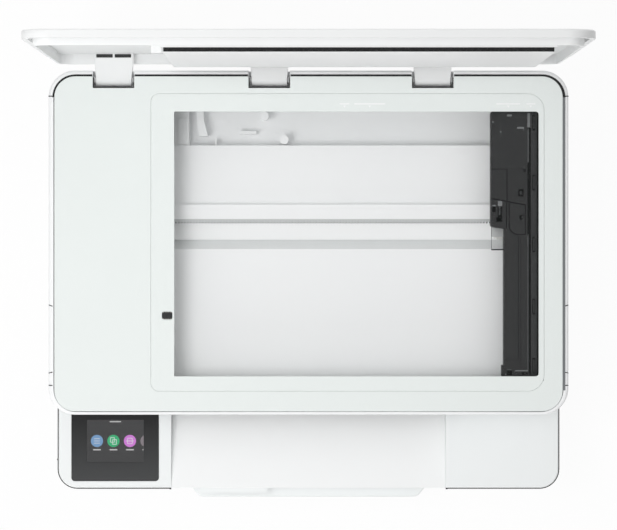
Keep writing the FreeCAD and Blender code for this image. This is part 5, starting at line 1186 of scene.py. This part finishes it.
# The black crosses are painted shade in the screws' recesses.
screws, recess_shades = bmesh.new(), bmesh.new()
for x in (PANEL[0] + PANEL_SCREW, PANEL[1] - PANEL_SCREW):
    for z in (PANEL[2] + PANEL_SCREW, PANEL[3] - PANEL_SCREW):
        screw(screws, recess_shades, x, z, REAR_WALL, 1, "y")
for x, y in FLOOR_SCREWS:
    screw(screws, recess_shades, x, y, UNDERSIDE, -1, "z")
piece("case_screws", screws, nickel_can, "base")
piece("case_screw_recess_shade", recess_shades, black_abs, "base")

seam = bmesh.new()
ring(seam, rounded(*PANEL, PANEL_CORNER),
     rounded(*inset(PANEL, PANEL_GAP), PANEL_CORNER - PANEL_GAP),
     REAR_WALL - 0.3, REAR_WALL + 0.05, axis="y")
piece("rear_panel_joint", seam, grey_abs, "base")

film_plate = bmesh.new()
mark(film_plate, rounded(*REAR_PLATE, PLATE_CORNER), REAR_WALL, 0.1, axis="y")
mark(film_plate, rounded(*FLOOR_PLATE, PLATE_CORNER), UNDERSIDE, 0.1)
# Label film is a smooth plastic with a silver print, so it has a soft gloss.
label_film = moulded("blank_silver_label_film", "#DDE0E1", "#D6D9DB", 0.5, 0.02, 0.3, ior=1.5)
piece("blank_rating_plates", film_plate, label_film, "base")

foot_low, foot_high = corners("feet")
foot_rings = bmesh.new()
for x in (-FOOT_REACH, FOOT_REACH):
    for y in (foot_low.y + FOOT_RADIUS, foot_high.y - FOOT_RADIUS):
        ring(foot_rings, round_spot(x, y, COLLAR_OUTER), round_spot(x, y, COLLAR_INNER),
             UNDERSIDE - COLLAR_DROP, UNDERSIDE + 0.1)
piece("foot_collars", foot_rings, white_abs, "base")

# %% [markdown]
# ## Ports, power button and ink cartridges
# A metal shield frames the data socket, and a tongue with contacts fills it. The power button has
# the plain ring and bar. Cartridges carry a label in the colour of their ink, so that nobody puts
# one in the wrong bay. All of these are thin plates and rings laid on the CAD parts.

# %% Ports, power button and ink cartridges
socket_low, socket_high = corners("data_socket")
PORT_X = (socket_low.x + socket_high.x) / 2
PORT_Z = 30.0
TONGUE_BACK, TONGUE_FRONT = 11.3, 3.2
SIGN_GAP, SIGN_STEPS, SIGN_INNER, SIGN_OUTER = 40, 24, 2.1, 2.6
SIGN_RISE = 0.06
LABEL_SIDE, LABEL_FRONT, LABEL_BACK = 3, 5, 6
FIELD_SIDE, FIELD_GAP, FIELD_FRONT, FIELD_BACK = 5, 0.6, 8, 22
INKS = {
    "black": ("black_cartridge", ("#26272A",)),
    "colour": ("colour_cartridge", ("#2C93B8", "#B8417C", "#D9B93A")),
}

shield = bmesh.new()
ring(shield, rounded(PORT_X - 5.0, PORT_X + 5.0, PORT_Z - 5.2, PORT_Z + 5.2, 1.2),
     rounded(PORT_X - 4.1, PORT_X + 4.1, PORT_Z - 3.4, PORT_Z + 3.4, 0.8),
     socket_high.y - SINK, socket_high.y + 0.3, axis="y")
piece("data_socket_shield", shield, nickel_can, "base")
tongue = bmesh.new()
plate(tongue, rounded(PORT_X - 1.8, PORT_X + 1.8, PORT_Z - 1.3, PORT_Z + 1.3, 0.2, 2),
      socket_high.y - TONGUE_BACK, socket_high.y - TONGUE_FRONT, 0.15, axis="y")
piece("data_socket_tongue", tongue, port_pbt, "base")

button_low, button_high = corners("power_button")
button_x = (button_low.x + button_high.x) / 2
button_z = (button_low.z + button_high.z) / 2
sign_mesh = bmesh.new()
sweep = 360 - 2 * SIGN_GAP
turns = [math.radians(90 + SIGN_GAP + sweep * i / SIGN_STEPS) for i in range(SIGN_STEPS + 1)]
for here, there in zip(turns, turns[1:]):
    spots = ((SIGN_INNER, here), (SIGN_OUTER, here), (SIGN_OUTER, there), (SIGN_INNER, there))
    mark(sign_mesh, [(button_x + r * math.cos(t), button_z + r * math.sin(t)) for r, t in spots],
         button_high.y, SIGN_RISE, axis="y")
tab(sign_mesh, button_x, button_z + 1.75, 0.25, 1.25, 0.2,
    button_high.y - SINK, button_high.y + SIGN_RISE, axis="y")
piece("power_button_sign", sign_mesh, grey_abs, "power_button")

for ink, (cartridge, colours) in INKS.items():
    tank_low, tank_high = corners(cartridge)
    label_mesh = bmesh.new()
    area = (tank_low.x + LABEL_SIDE, tank_high.x - LABEL_SIDE,
            tank_low.y + LABEL_FRONT, tank_high.y - LABEL_BACK)
    mark(label_mesh, rounded(*area, 2.0), tank_high.z, 0.1)
    piece(f"{ink}_ink_label", label_mesh, label_film, "carriage")
    width = (tank_high.x - tank_low.x - 2 * FIELD_SIDE) / len(colours)
    for i, colour in enumerate(colours):
        x0 = tank_low.x + FIELD_SIDE + width * i
        field = bmesh.new()
        area = (x0 + FIELD_GAP, x0 + width - FIELD_GAP,
                tank_low.y + FIELD_FRONT, tank_low.y + FIELD_BACK)
        plate(field, rounded(*area, 1.0), tank_high.z + 0.05, tank_high.z + 0.16)
        # Printed ink lies flat on the film: one even colour with the film's gloss.
        ink_print = moulded(f"printed_{ink}_field_{i + 1}", colour, colour, 1.0, 0.01, 0.35,
                            ior=1.5)
        piece(f"{ink}_ink_field_{i + 1}", field, ink_print, "carriage")
